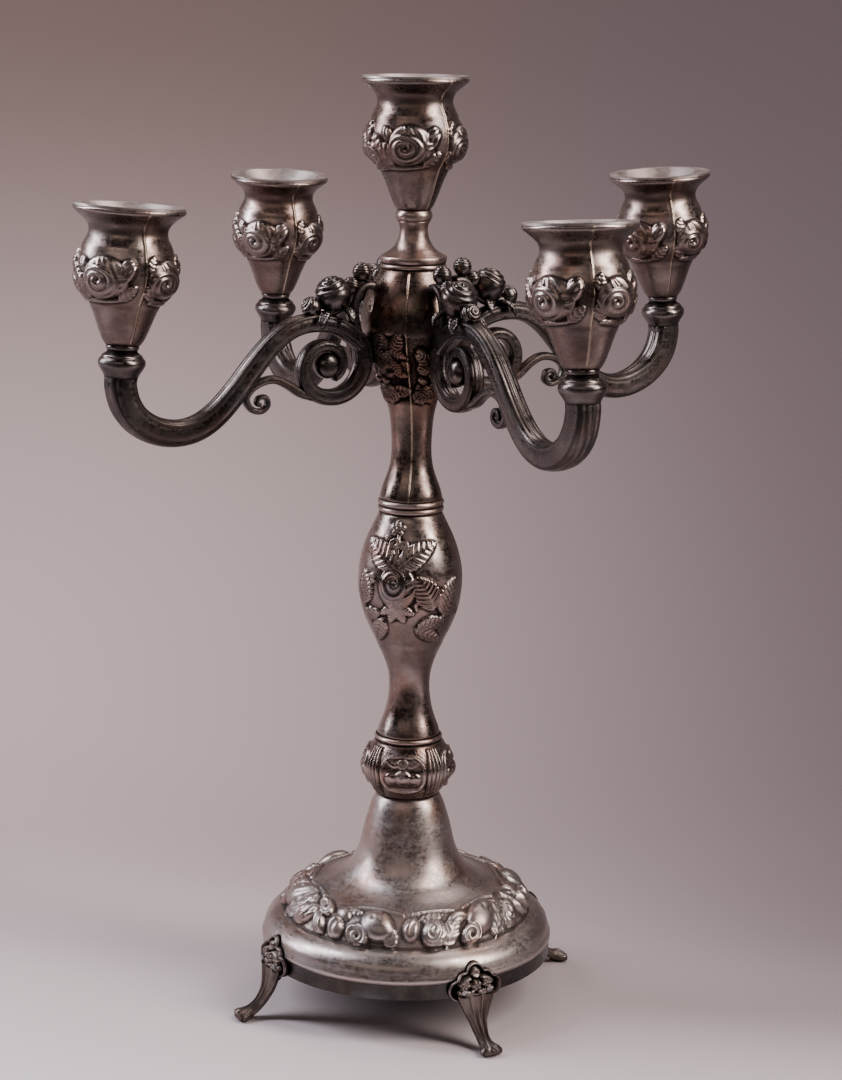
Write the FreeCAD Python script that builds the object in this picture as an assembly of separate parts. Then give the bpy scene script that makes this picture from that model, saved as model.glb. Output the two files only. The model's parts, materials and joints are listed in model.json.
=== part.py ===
"""Five-light tabletop candelabra: stamped stem and base, four cast scroll arms, drop-in candle nozzles.

Millimetres, +Z up. The origin is on the table under the middle of the stem, and the four arms point along
+X, +Y, -X and -Y. Each physical piece is written to its own STEP file in parts/.
"""
import FreeCAD
import Part
import math
import os

# ---- driving dimensions -------------------------------------------------------------------------------
SHEET = 1.0                # wall of the stamped stem pieces
SEAT_GAP = 0.05            # solder line between a cast piece and the curved wall that it is soldered to

ARM_COUNT = 4
ARM_NAMES = ("right", "rear", "left", "front")
ARM_REACH = 136.8          # stem axis to the middle of an arm cup's rim
ARM_RIM_Z = 376.8          # height of an arm cup's rim
ARM_LEAN = 4.0             # degrees that an arm cup leans in towards the stem
ARM_RISES = (6.5, 0.0, 0.0, 0.0)    # how much higher each arm was bent than the others when it was fitted
ARM_TURNS = (2.6, 0.0, 0.0, 0.0)    # degrees that each arm stands off its quarter of the circle
FOOT_TURN = -2.4           # degrees between the ring of feet and the ring of arms

CUP_HEIGHT = 58.0
CUP_RIM_R = 24.0
CUP_WALL = 1.0
CUP_FLOOR = 5.0            # solid thickness at the bottom of a cup
CENTRE_CUP_Z = 371.5       # underside of the middle cup

BORE_R = 11.2              # candle socket
BORE_FLOOR = 30.8          # height of the socket's floor above the cup's underside
NOZZLE_WALL = 0.8
NOZZLE_FLANGE = 1.0
NOZZLE_FIT = 0.4           # radial play between the nozzle's skirt and the cup's neck
NECK_HEIGHT = 47.6         # height of the cup's neck
NECK_R = 16.7

PAN_Z = 22.6               # underside of the base
RIM_Z = 30.0               # seam between the base dome and its closing pan
BASE_R = 68.5
PAN_R = 67.9
BELL_TOP_Z = 99.5
KNOP_TOP_Z = 125.6
KNOP_RING_TOP_Z = 128.4
COLLAR_Z = 234.2           # double-bead ring between the two vases
BODY_Z = 240.2
CAP_Z = 345.6
CUP_COLLAR_Z = 366.4

ROD_R = 2.5
ROD_HOLE_R = 2.7
NUT_FLATS = 8.0
NUT_HEIGHT = 4.2
WASHER_R = 9.0
WASHER_THICK = 1.2
ROD_END = 1.4              # length of rod showing past each nut

ARM_COLLAR_LENGTH = 14.0
SCREW_R = 1.9
SCREW_HOLE_R = 2.0
SCREW_HEAD_R = 4.0
SCREW_HEAD = 2.0
SCREW_LENGTH = 24.0
ARM_SCREW_R = 1.5
ARM_SCREW_HOLE_R = 1.55
ARM_SCREW_Z = 304.0

BOSS_R_MID = 43.6          # distance of a volute's eye from the stem axis
BOSS_Z = 303.9
BOSS_R = 6.6
BOSS_WIDTH = 9.6

SHOULDER_MID_R = 46.0      # drum that follows the top of an arm's shoulder
SHOULDER_MID_Z = 302.5
SHOULDER_R = 24.9
STRAP_WIDTH = 6.6          # strap of a rose spray, across the arm
TWIG_R = 1.9

FOOT_SHIELD = 3.0          # thickness of the trefoil plate
TOE_R = 5.7
TOE_MID_R = 82.8
TOE_HEIGHT = 4.4

SECTION_POINTS = 16        # points round one section of a scroll bar

UP = FreeCAD.Vector(0, 0, 1)
ORIGIN = FreeCAD.Vector(0, 0, 0)


# ---- small helpers ------------------------------------------------------------------------------------
def flat_point(radius, height):
    """A point of an outline, drawn in the XZ plane."""
    return FreeCAD.Vector(radius, 0, height)


def smooth(points):
    """One curve through (radius, height) points."""
    curve = Part.BSplineCurve()
    curve.interpolate([flat_point(*p) for p in points])
    return curve.toShape()


def straight(start, end):
    """One straight edge between (radius, height) points."""
    return Part.makeLine(flat_point(*start), flat_point(*end))


def revolve_edges(edges):
    """Turn a closed outline about the Z axis."""
    wire = Part.Wire(Part.__sortEdges__(edges))
    return Part.Face(wire).revolve(ORIGIN, UP, 360)


def turned_shell(spans, wall=SHEET):
    """A sheet of revolution: smooth spans from bottom to top, the same spans a wall further in, flat ends."""
    inner = [[(radius - wall, height) for radius, height in span] for span in spans]
    edges = [smooth(span) for span in spans + inner]
    edges.append(straight(spans[0][0], inner[0][0]))
    edges.append(straight(spans[-1][-1], inner[-1][-1]))
    return revolve_edges(edges)


def turned_solid(spans, bore):
    """A solid turning with a plain hole along its axis."""
    bottom = spans[0][0]
    top = spans[-1][-1]
    edges = [smooth(span) for span in spans]
    edges.append(straight(top, (bore, top[1])))
    edges.append(straight((bore, top[1]), (bore, bottom[1])))
    edges.append(straight((bore, bottom[1]), bottom))
    return revolve_edges(edges)


def turned_by(shape, degrees):
    """A copy of a shape turned about the stem axis."""
    turned = shape.copy()
    turned.rotate(ORIGIN, UP, degrees)
    return turned


def around_arms(shape, index):
    """A copy of a shape drawn along +X, turned to arm number index."""
    return turned_by(shape, index * 360.0 / ARM_COUNT + ARM_TURNS[index])


def around_feet(shape, index):
    """A copy of a shape drawn along +X, turned to foot number index."""
    return turned_by(shape, index * 360.0 / ARM_COUNT + FOOT_TURN)


def on_arm(shape, rise):
    """Move a shape from a cup's own frame (underside at z = 0) onto an arm along +X that is bent up by rise."""
    lean = math.radians(ARM_LEAN)
    foot_r = ARM_REACH + CUP_HEIGHT * math.sin(lean)
    foot_z = ARM_RIM_Z - CUP_HEIGHT * math.cos(lean) + rise
    placed = shape.copy()
    placed.rotate(ORIGIN, FreeCAD.Vector(0, 1, 0), -ARM_LEAN)
    placed.translate(FreeCAD.Vector(foot_r, 0, foot_z))
    return placed


def lifted(shape, height):
    """A copy of a shape raised by height."""
    moved = shape.copy()
    moved.translate(FreeCAD.Vector(0, 0, height))
    return moved


def bar_section(middle, tangent, depth, width, squareness):
    """One closed section of a scroll bar: depth in the arm's plane, width across it.

    squareness is the power of the superellipse: 2 is an ellipse, and more is closer to a rectangle.
    """
    across = FreeCAD.Vector(0, 1, 0)
    normal = across.cross(tangent)
    normal.normalize()
    points = []
    for step in range(SECTION_POINTS):
        angle = math.radians(step * 360.0 / SECTION_POINTS)
        c = math.cos(angle)
        s = math.sin(angle)
        u = math.copysign(abs(c) ** (2.0 / squareness), c) * depth / 2
        v = math.copysign(abs(s) ** (2.0 / squareness), s) * width / 2
        points.append(middle + normal * u + across * v)
    even = [step / SECTION_POINTS for step in range(SECTION_POINTS + 1)]
    curve = Part.BSplineCurve()
    curve.interpolate(Points=points, PeriodicFlag=True, Parameters=even)
    return Part.Wire(curve.toShape())


def scroll_bar(path, stations, depths, widths, squareness):
    """Loft a bar along a planar path; depths, widths and squareness are (start, middle, end) values."""
    curve = Part.BSplineCurve()
    curve.interpolate([flat_point(*p) for p in path])
    length = curve.length()
    sections = []
    for step in range(stations):
        share = step / (stations - 1)
        parameter = curve.parameterAtDistance(length * share)
        tangent = FreeCAD.Vector(*curve.tangent(parameter)[0])
        middle = curve.value(parameter)
        sizes = [blend(values, share) for values in (depths, widths, squareness)]
        sections.append(bar_section(middle, tangent, *sizes))
    return Part.makeLoft(sections, True, False)


def blend(values, share):
    """Straight-line blend from the first through the middle to the last of three values."""
    start, middle, end = values
    if share < 0.5:
        return start + (middle - start) * share * 2
    return middle + (end - middle) * (share - 0.5) * 2


# ---- base ---------------------------------------------------------------------------------------------
def dome_edge_spans(grow=0.0):
    """The dome's rolled rim and plain ogee, optionally grown outwards."""
    rim = [(BASE_R, RIM_Z), (68.6, 31.4), (67.5, 33.2)]
    ogee = [(67.5, 33.2), (67.1, 36.2), (64.8, 39.6), (61.2, 41.8), (57.6, 42.8)]
    return [[(radius + grow, height) for radius, height in span] for span in (rim, ogee)]


def dome_edge(grow):
    """The edge of the base as a solid drum that reaches down to the table, grown outwards."""
    rim, ogee = dome_edge_spans(grow)
    wall = [(BASE_R + grow, 0.0), (BASE_R + grow, RIM_Z / 2), (BASE_R + grow, RIM_Z)]
    return turned_solid([wall, rim, ogee], ROD_R)


def base_dome():
    """Stamped base: rolled rim, plain ogee, raised garland band and the bell that carries the stem."""
    rim, ogee = dome_edge_spans()
    garland = [(57.6, 42.8), (56.2, 45.6), (53.2, 49.8), (48.4, 53.6), (40.5, 56.4)]
    bell = [(40.5, 56.4), (34.0, 58.8), (28.2, 63.0), (24.6, 68.6), (22.3, 74.5), (20.6, 82.0),
            (18.4, 90.0), (16.2, 96.4), (14.4, BELL_TOP_Z)]
    return turned_shell([rim, ogee, garland, bell])


def base_pan():
    """Flat pan that closes the underside; its turned-up wall is the dark band below the dome's rim."""
    outer = Part.makeCylinder(PAN_R, RIM_Z - PAN_Z, FreeCAD.Vector(0, 0, PAN_Z))
    hollow_z = PAN_Z + SHEET
    hollow = Part.makeCylinder(PAN_R - SHEET, RIM_Z - hollow_z, FreeCAD.Vector(0, 0, hollow_z))
    hole = Part.makeCylinder(ROD_HOLE_R, RIM_Z, ORIGIN)
    rivets = [around_feet(rivet(side, 0.05), i) for i in range(ARM_COUNT) for side in (-1, 1)]
    return outer.cut(hollow).cut([hole] + rivets)


def foot_leg():
    """The tapering leg of a foot, from behind the shield out to the toe."""
    path = [(70.6, 26.0), (70.8, 20.0), (72.2, 13.6), (75.4, 8.2), (79.2, 4.6), (83.4, 2.6)]
    return scroll_bar(path, 9, (3.2, 4.4, 3.8), (17.0, 11.6, 10.4), (3.0, 2.6, 2.4))


def foot_shield():
    """Trefoil plate that lies against the edge of the base: three lobes and a web between them."""
    depth = 14.0
    start = BASE_R - 8.0
    lobes = [(0.0, 32.2, 5.2), (9.4, 24.6, 5.7), (-9.4, 24.6, 5.7), (0.0, 25.0, 8.4)]
    along = FreeCAD.Vector(1, 0, 0)
    discs = [Part.makeCylinder(r, depth, FreeCAD.Vector(start, y, z), along) for y, z, r in lobes]
    plate = discs[0].multiFuse(discs[1:])
    return plate.common(dome_edge(FOOT_SHIELD))


def foot_toe():
    """Rounded toe pad that stands on the table."""
    toe = Part.makeCylinder(TOE_R, TOE_HEIGHT, FreeCAD.Vector(TOE_MID_R, 0, 0))
    top_edges = [e for e in toe.Edges if e.BoundBox.ZMin > TOE_HEIGHT - 0.01 and e.Length > TOE_R]
    return toe.makeFillet(1.8, top_edges)


def foot():
    """Cast foot along +X: shield, leg and toe, hollowed to the edge of the base and flat underneath."""
    below = Part.makeBox(200, 200, 20, FreeCAD.Vector(0, -100, -20))
    body = foot_shield().fuse([foot_leg(), foot_toe()])
    holes = [rivet(side, SEAT_GAP) for side in (-1, 1)]
    return body.cut([below, dome_edge(SEAT_GAP)] + holes).removeSplitter()


def rivet(side, grow=0.0):
    """One rivet through a side lobe of a shield and the base's band; grow makes the hole for it."""
    start = FreeCAD.Vector(PAN_R - SHEET - 1.2, side * 6.4, PAN_Z + 3.4)
    return Part.makeCylinder(1.1 + grow, 6.0, start, FreeCAD.Vector(1, 0, 0))


# ---- stem ---------------------------------------------------------------------------------------------
def base_knop():
    """Bulging knop between the bell and the lower vase."""
    return turned_shell([[(14.4, BELL_TOP_Z), (16.8, 102.2), (19.4, 106.6), (21.2, 111.0), (21.3, 114.6),
                          (20.0, 118.6), (17.6, 122.8), (15.2, KNOP_TOP_Z)]])


def knop_ring():
    """Plain bead ring on top of the knop."""
    return turned_solid([[(14.9, KNOP_TOP_Z), (15.8, KNOP_TOP_Z + 1.4), (14.9, KNOP_RING_TOP_Z)]], ROD_HOLE_R)


def lower_stem():
    """Lower vase, from its flared foot to its shoulder."""
    return turned_shell([[(14.7, KNOP_RING_TOP_Z), (13.6, 132.0), (11.6, 137.2), (9.9, 144.0), (9.2, 150.8),
                          (9.6, 157.2), (11.6, 164.2), (15.2, 172.0), (19.0, 179.8), (22.2, 188.2),
                          (24.0, 197.5), (24.1, 206.5), (22.3, 215.8), (18.8, 225.2), (14.3, COLLAR_Z)]])


def stem_collar():
    """Double-bead ring between the two vases."""
    middle = (COLLAR_Z + BODY_Z) / 2
    lower = [(14.2, COLLAR_Z), (15.2, (COLLAR_Z + middle) / 2), (14.5, middle)]
    upper = [(14.5, middle), (15.3, (middle + BODY_Z) / 2), (14.4, BODY_Z)]
    return turned_solid([lower, upper], ROD_HOLE_R)


def body_spans(grow=0.0):
    """Outline of the upper vase that carries the arms, optionally grown outwards."""
    neck = [(14.5, BODY_Z), (14.0, 243.4), (11.9, 249.2), (9.8, 255.6), (9.1, 262.0), (9.4, 270.0),
            (10.3, 278.8), (12.4, 287.8), (15.6, 296.8), (19.7, 306.0), (22.6, 314.0), (23.4, 321.4),
            (22.5, 329.2), (19.6, 336.8), (16.6, 341.8), (14.2, CAP_Z)]
    return [[(radius + grow, height) for radius, height in neck]]


def stem_body():
    """Upper vase, with a hole for each arm's screw."""
    shell = turned_shell(body_spans())
    holes = [around_arms(arm_screw(ARM_SCREW_HOLE_R - ARM_SCREW_R), i) for i in range(ARM_COUNT)]
    return shell.cut(holes)


def body_envelope():
    """The upper vase as a solid a solder line larger, to shape what is soldered to it."""
    return turned_solid(body_spans(SEAT_GAP), ROD_R)


def body_cap():
    """Stepped cap on the upper vase, drawn in to a slim neck."""
    bead = [(14.2, CAP_Z), (14.9, 346.7), (14.3, 347.8)]
    band = [(14.3, 347.8), (15.1, 349.4), (14.9, 351.0)]
    neck = [(14.9, 351.0), (12.2, 352.4), (9.3, 354.6), (7.5, 357.4), (6.5, 360.6), (6.3, 363.8),
            (7.3, CUP_COLLAR_Z)]
    return turned_solid([bead, band, neck], ROD_HOLE_R)


def cup_collar():
    """Bead ring under the middle cup."""
    return turned_solid([[(7.3, CUP_COLLAR_Z), (8.3, 368.9), (7.4, CENTRE_CUP_Z)]], ROD_HOLE_R)


def tie_rod():
    """Threaded rod that clamps the stem, from below the pan to the middle cup's floor."""
    bottom = PAN_Z - WASHER_THICK - NUT_HEIGHT - ROD_END
    top = CENTRE_CUP_Z + CUP_FLOOR + NUT_HEIGHT + ROD_END
    return Part.makeCylinder(ROD_R, top - bottom, FreeCAD.Vector(0, 0, bottom))


def rod_nuts():
    """The rod's two hexagonal nuts: under the base and on the middle cup's floor."""
    corner = NUT_FLATS / math.sqrt(3)
    corners = [flat_hex(corner, 60 * i) for i in range(7)]
    blank = Part.Face(Part.makePolygon(corners)).extrude(UP * NUT_HEIGHT)
    nut = blank.cut(Part.makeCylinder(ROD_R + SEAT_GAP, NUT_HEIGHT))
    low = lifted(nut, PAN_Z - WASHER_THICK - NUT_HEIGHT)
    high = lifted(nut, CENTRE_CUP_Z + CUP_FLOOR)
    return Part.makeCompound([low, high])


def flat_hex(radius, degrees):
    """A corner of a flat polygon."""
    angle = math.radians(degrees)
    return FreeCAD.Vector(radius * math.cos(angle), radius * math.sin(angle), 0)


def rod_washer():
    """Plain washer between the pan and the lower nut."""
    start = FreeCAD.Vector(0, 0, PAN_Z - WASHER_THICK)
    disc = Part.makeCylinder(WASHER_R, WASHER_THICK, start)
    return disc.cut(Part.makeCylinder(ROD_HOLE_R, WASHER_THICK, start))


# ---- cups and nozzles, drawn with the cup's underside at z = 0 ------------------------------------------
def cup_spans():
    """Outline of a cup: bead, cone, rose band, neck, flared mouth and flat lip."""
    cone = [(7.4, 0.0), (8.7, 1.6), (10.0, 4.4), (12.2, 10.2), (15.0, 16.8), (18.6, 22.0), (20.9, 27.0),
            (21.4, 32.4), (20.6, 38.4), (18.3, 43.6), (NECK_R, NECK_HEIGHT), (17.4, 50.6), (20.0, 53.4),
            (23.0, 55.8)]
    lip = [(23.0, 55.8), (CUP_RIM_R, 57.0), (23.7, CUP_HEIGHT)]
    return [cone, lip]


def cup(hole_r):
    """One candle cup, hollow above its floor, with a hole for what fastens it."""
    cone, lip = cup_spans()
    inner = [(radius - CUP_WALL, height) for radius, height in cone if height > CUP_FLOOR]
    floor_r = inner[0][0] - 1.2
    mouth = (inner[-1][0], CUP_HEIGHT)
    edges = [smooth(cone), smooth(lip), smooth(inner)]
    edges.append(straight(lip[-1], mouth))
    edges.append(straight(mouth, inner[-1]))
    edges.append(straight(inner[0], (floor_r, CUP_FLOOR)))
    edges.append(straight((floor_r, CUP_FLOOR), (hole_r, CUP_FLOOR)))
    edges.append(straight((hole_r, CUP_FLOOR), (hole_r, 0)))
    edges.append(straight((hole_r, 0), cone[0]))
    return revolve_edges(edges)


def nozzle():
    """Drop-in candle nozzle: rim flange, dished funnel, locating skirt and closed candle tube."""
    tube_r = BORE_R + NOZZLE_WALL
    top = CUP_HEIGHT + NOZZLE_FLANGE
    dish_z = CUP_HEIGHT - 4.6
    skirt_r = NECK_R - CUP_WALL - NOZZLE_FIT
    skirt_z = NECK_HEIGHT - 0.6
    corners = [(0, BORE_FLOOR - NOZZLE_WALL), (tube_r, BORE_FLOOR - NOZZLE_WALL),
               (tube_r, dish_z - NOZZLE_WALL), (skirt_r - NOZZLE_WALL, dish_z - NOZZLE_WALL),
               (skirt_r - NOZZLE_WALL, skirt_z), (skirt_r, skirt_z), (skirt_r, dish_z - NOZZLE_WALL),
               (20.4, CUP_HEIGHT), (CUP_RIM_R - 0.5, CUP_HEIGHT), (CUP_RIM_R - 0.5, top), (20.2, top),
               (tube_r + 2.0, dish_z), (BORE_R, dish_z), (BORE_R, BORE_FLOOR), (0, BORE_FLOOR),
               (0, BORE_FLOOR - NOZZLE_WALL)]
    outline = Part.makePolygon([flat_point(*p) for p in corners])
    return Part.Face(outline).revolve(ORIGIN, UP, 360)


def cup_screw():
    """Screw that holds an arm's cup and collar down on the arm."""
    head = Part.makeCylinder(SCREW_HEAD_R, SCREW_HEAD, FreeCAD.Vector(0, 0, CUP_FLOOR))
    slot = Part.makeBox(2 * SCREW_HEAD_R, 1.0, 1.0)
    slot.translate(FreeCAD.Vector(-SCREW_HEAD_R, -0.5, CUP_FLOOR + SCREW_HEAD - 0.8))
    shank = Part.makeCylinder(SCREW_R, SCREW_LENGTH, FreeCAD.Vector(0, 0, CUP_FLOOR - SCREW_LENGTH))
    return head.cut(slot).fuse(shank)


def screw_hole():
    """Clearance hole for a cup screw."""
    start = FreeCAD.Vector(0, 0, CUP_FLOOR - SCREW_LENGTH - 0.5)
    return Part.makeCylinder(SCREW_HOLE_R, SCREW_LENGTH, start)


# ---- arms, drawn along +X -------------------------------------------------------------------------------
def arm_collar():
    """Turned collar between an arm and its cup: bead, waist, ring and bulge."""
    bulge = [(7.2, -ARM_COLLAR_LENGTH), (8.0, -12.2), (9.5, -10.0), (10.2, -8.0), (9.9, -6.4), (8.8, -5.3)]
    ring = [(8.8, -5.3), (8.5, -4.3), (7.0, -3.4), (6.4, -2.4)]
    bead = [(6.4, -2.4), (7.1, -1.2), (6.9, 0.0)]
    return turned_solid([bulge, ring, bead], SCREW_HOLE_R)


def arm_start():
    """Where the arm meets its collar, and the point a little further down the same line."""
    lean = math.radians(ARM_LEAN)
    points = []
    for drop in (ARM_COLLAR_LENGTH, ARM_COLLAR_LENGTH + 4.0):
        radius = ARM_REACH + (CUP_HEIGHT + drop) * math.sin(lean)
        height = ARM_RIM_Z - (CUP_HEIGHT + drop) * math.cos(lean)
        points.append((radius, height))
    return points


def bent_up(path, rise):
    """Raise a path's points in proportion to how far out they lie, up to rise at the cup."""
    start_r = BOSS_R_MID + 10.0
    bent = []
    for radius, height in path:
        share = (radius - start_r) / (ARM_REACH - start_r)
        bent.append((radius, height + rise * min(max(share, 0.0), 1.0)))
    return bent


def arm_path():
    """Middle line of an arm: down and round under the cup, up to the shoulder, then the volute."""
    sweep = [(140.2, 293.4), (135.4, 286.4), (127.4, 281.2), (117.2, 278.9), (107.0, 280.5), (97.4, 286.2),
             (88.2, 295.4), (79.6, 305.8), (70.6, 315.2), (60.4, 321.6), (49.4, 323.4), (38.0, 321.0)]
    volute = []
    for degrees in range(150, 451, 20):
        turn = (degrees - 180) / 270.0
        reach = 19.7 - 12.2 * max(turn, 0.0)
        angle = math.radians(degrees)
        volute.append((BOSS_R_MID + reach * math.cos(angle), BOSS_Z + reach * math.sin(angle)))
    return arm_start() + sweep + volute


def arm_bar(rise):
    """The main bar of an arm: round under the cup, flatter and slimmer towards the volute."""
    path = bent_up(arm_path(), rise)
    return scroll_bar(path, 44, (14.2, 7.0, 3.8), (14.2, 8.6, 7.0), (2.2, 3.0, 3.4))


def arm_boss():
    """Domed button in the eye of the volute."""
    half = BOSS_WIDTH / 2
    outline = [smooth([(0, half), (BOSS_R * 0.55, half * 0.9), (BOSS_R * 0.93, half * 0.5), (BOSS_R, 0),
                       (BOSS_R * 0.93, -half * 0.5), (BOSS_R * 0.55, -half * 0.9), (0, -half)])]
    outline.append(straight((0, -half), (0, half)))
    button = revolve_edges(outline)
    button.rotate(ORIGIN, FreeCAD.Vector(1, 0, 0), 90)
    button.translate(FreeCAD.Vector(BOSS_R_MID, 0, BOSS_Z))
    return button


def arm_spur(rise):
    """Thin branch from the volute back to the arm, ending in a small curl."""
    path = [(51.0, 290.6), (57.2, 292.6), (63.2, 296.6), (69.4, 299.2), (75.6, 298.6), (81.0, 295.6),
            (83.2, 291.6), (81.0, 287.4), (76.6, 285.6), (73.0, 288.0), (74.0, 291.4), (77.0, 291.0)]
    return scroll_bar(bent_up(path, rise), 22, (3.4, 2.8, 2.2), (5.4, 4.8, 4.0), (2.6, 2.6, 2.2))


def arm_screw(grow=0.0):
    """Screw through the wall of the upper vase into the back of a volute; grow makes the hole for it."""
    start = FreeCAD.Vector(15.8, 0, ARM_SCREW_Z)
    along = FreeCAD.Vector(1, 0, 0)
    shank = Part.makeCylinder(ARM_SCREW_R + grow, 9.8, start, along)
    head = Part.makeCylinder(2.6, 1.4, FreeCAD.Vector(14.4, 0, ARM_SCREW_Z), along)
    return shank if grow else shank.fuse(head)


def collar_seat():
    """Room for the collar above an arm's squared-off upper end."""
    return Part.makeCylinder(12.0, ARM_COLLAR_LENGTH, FreeCAD.Vector(0, 0, -ARM_COLLAR_LENGTH))


def arm(rise):
    """One cast arm with its volute, eye, spur and screw holes."""
    bar = arm_bar(rise).fuse([arm_boss(), arm_spur(rise)])
    holes = [body_envelope(), on_arm(screw_hole(), rise), arm_screw(ARM_SCREW_HOLE_R - ARM_SCREW_R)]
    holes.append(on_arm(collar_seat(), rise))
    return bar.cut(holes)


def shoulder_drum():
    """Drum that just clears the top of an arm's shoulder, to seat the rose spray on it."""
    start = FreeCAD.Vector(SHOULDER_MID_R, -20, SHOULDER_MID_Z)
    return Part.makeCylinder(SHOULDER_R, 40, start, FreeCAD.Vector(0, 1, 0))


def rose_strap():
    """Flat strap that curls from the stem's shoulder round to the arm."""
    outer = [(20.1, 340.0), (25.0, 340.2), (30.2, 336.8), (32.4, 330.0), (31.8, 323.0), (30.0, 316.0)]
    inner = [(27.2, 316.8), (28.9, 323.6), (29.3, 330.0), (27.4, 334.8), (24.0, 337.2), (20.1, 337.0)]
    edges = [smooth(outer), smooth(inner), straight(outer[-1], inner[0]), straight(inner[-1], outer[0])]
    face = Part.Face(Part.Wire(Part.__sortEdges__(edges)))
    face.translate(FreeCAD.Vector(0, -STRAP_WIDTH / 2, 0))
    return face.extrude(FreeCAD.Vector(0, STRAP_WIDTH, 0))


def rose_cluster():
    """Cast spray on an arm's shoulder: leaf, rose and two buds on a twig, and the strap to the stem."""
    balls = [(50.6, 330.4, 4.6), (40.3, 334.6, 7.4), (31.2, 338.4, 3.8), (25.6, 344.0, 4.4)]
    pieces = [Part.makeSphere(r, flat_point(x, z)) for x, z, r in balls]
    for near, far in zip(balls, balls[1:]):
        along = flat_point(far[0], far[1]) - flat_point(near[0], near[1])
        pieces.append(Part.makeCylinder(TWIG_R, along.Length, flat_point(near[0], near[1]), along))
    spray = rose_strap().fuse(pieces)
    return spray.cut(shoulder_drum()).removeSplitter()


# ---- the whole set of pieces ----------------------------------------------------------------------------
def centre_pieces():
    """Every piece on the stem axis, by node name."""
    return {
        "base_dome": base_dome(),
        "base_pan": base_pan(),
        "base_knop": base_knop(),
        "knop_ring": knop_ring(),
        "lower_stem": lower_stem(),
        "stem_collar": stem_collar(),
        "stem_body": stem_body(),
        "body_cap": body_cap(),
        "cup_collar": cup_collar(),
        "cup_centre": lifted(cup(ROD_HOLE_R), CENTRE_CUP_Z),
        "nozzle_centre": lifted(nozzle(), CENTRE_CUP_Z),
        "tie_rod": tie_rod(),
        "rod_nuts": rod_nuts(),
        "rod_washer": rod_washer(),
    }


def arm_pieces(index):
    """The pieces of one arm, by node name."""
    rise = ARM_RISES[index]
    shapes = {
        "arm": arm(rise),
        "rose_cluster": rose_cluster(),
        "arm_collar": on_arm(arm_collar(), rise),
        "cup": on_arm(cup(SCREW_HOLE_R), rise),
        "nozzle": on_arm(nozzle(), rise),
    }
    where = ARM_NAMES[index]
    return {name + "_" + where: around_arms(shape, index) for name, shape in shapes.items()}


def foot_pieces():
    """The four feet, by node name."""
    one = foot()
    return {"foot_" + where: around_feet(one, index) for index, where in enumerate(ARM_NAMES)}


def fastener_groups():
    """Identical fasteners, one compound of separate solids for each kind."""
    spots = range(ARM_COUNT)
    screws = [around_arms(on_arm(cup_screw(), ARM_RISES[i]), i) for i in spots]
    arm_screws = [around_arms(arm_screw(), i) for i in spots]
    rivets = [around_feet(rivet(side), i) for i in spots for side in (-1, 1)]
    return {
        "cup_screws": Part.makeCompound(screws),
        "arm_screws": Part.makeCompound(arm_screws),
        "foot_rivets": Part.makeCompound(rivets),
    }


def main():
    """Write every piece of the candelabra to parts/."""
    os.makedirs("parts", exist_ok=True)
    pieces = centre_pieces()
    for index in range(ARM_COUNT):
        pieces.update(arm_pieces(index))
    pieces.update(foot_pieces())
    pieces.update(fastener_groups())
    for name, shape in pieces.items():
        shape.exportStep(os.path.join("parts", name + ".step"))
        print(name, "valid" if shape.isValid() else "INVALID", len(shape.Solids), round(shape.Volume, 1))


main()
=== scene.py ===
"""Looks of the tabletop candelabra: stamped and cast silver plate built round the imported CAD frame."""

import json
import logging
import math
from dataclasses import dataclass, field
from enum import Enum

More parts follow.
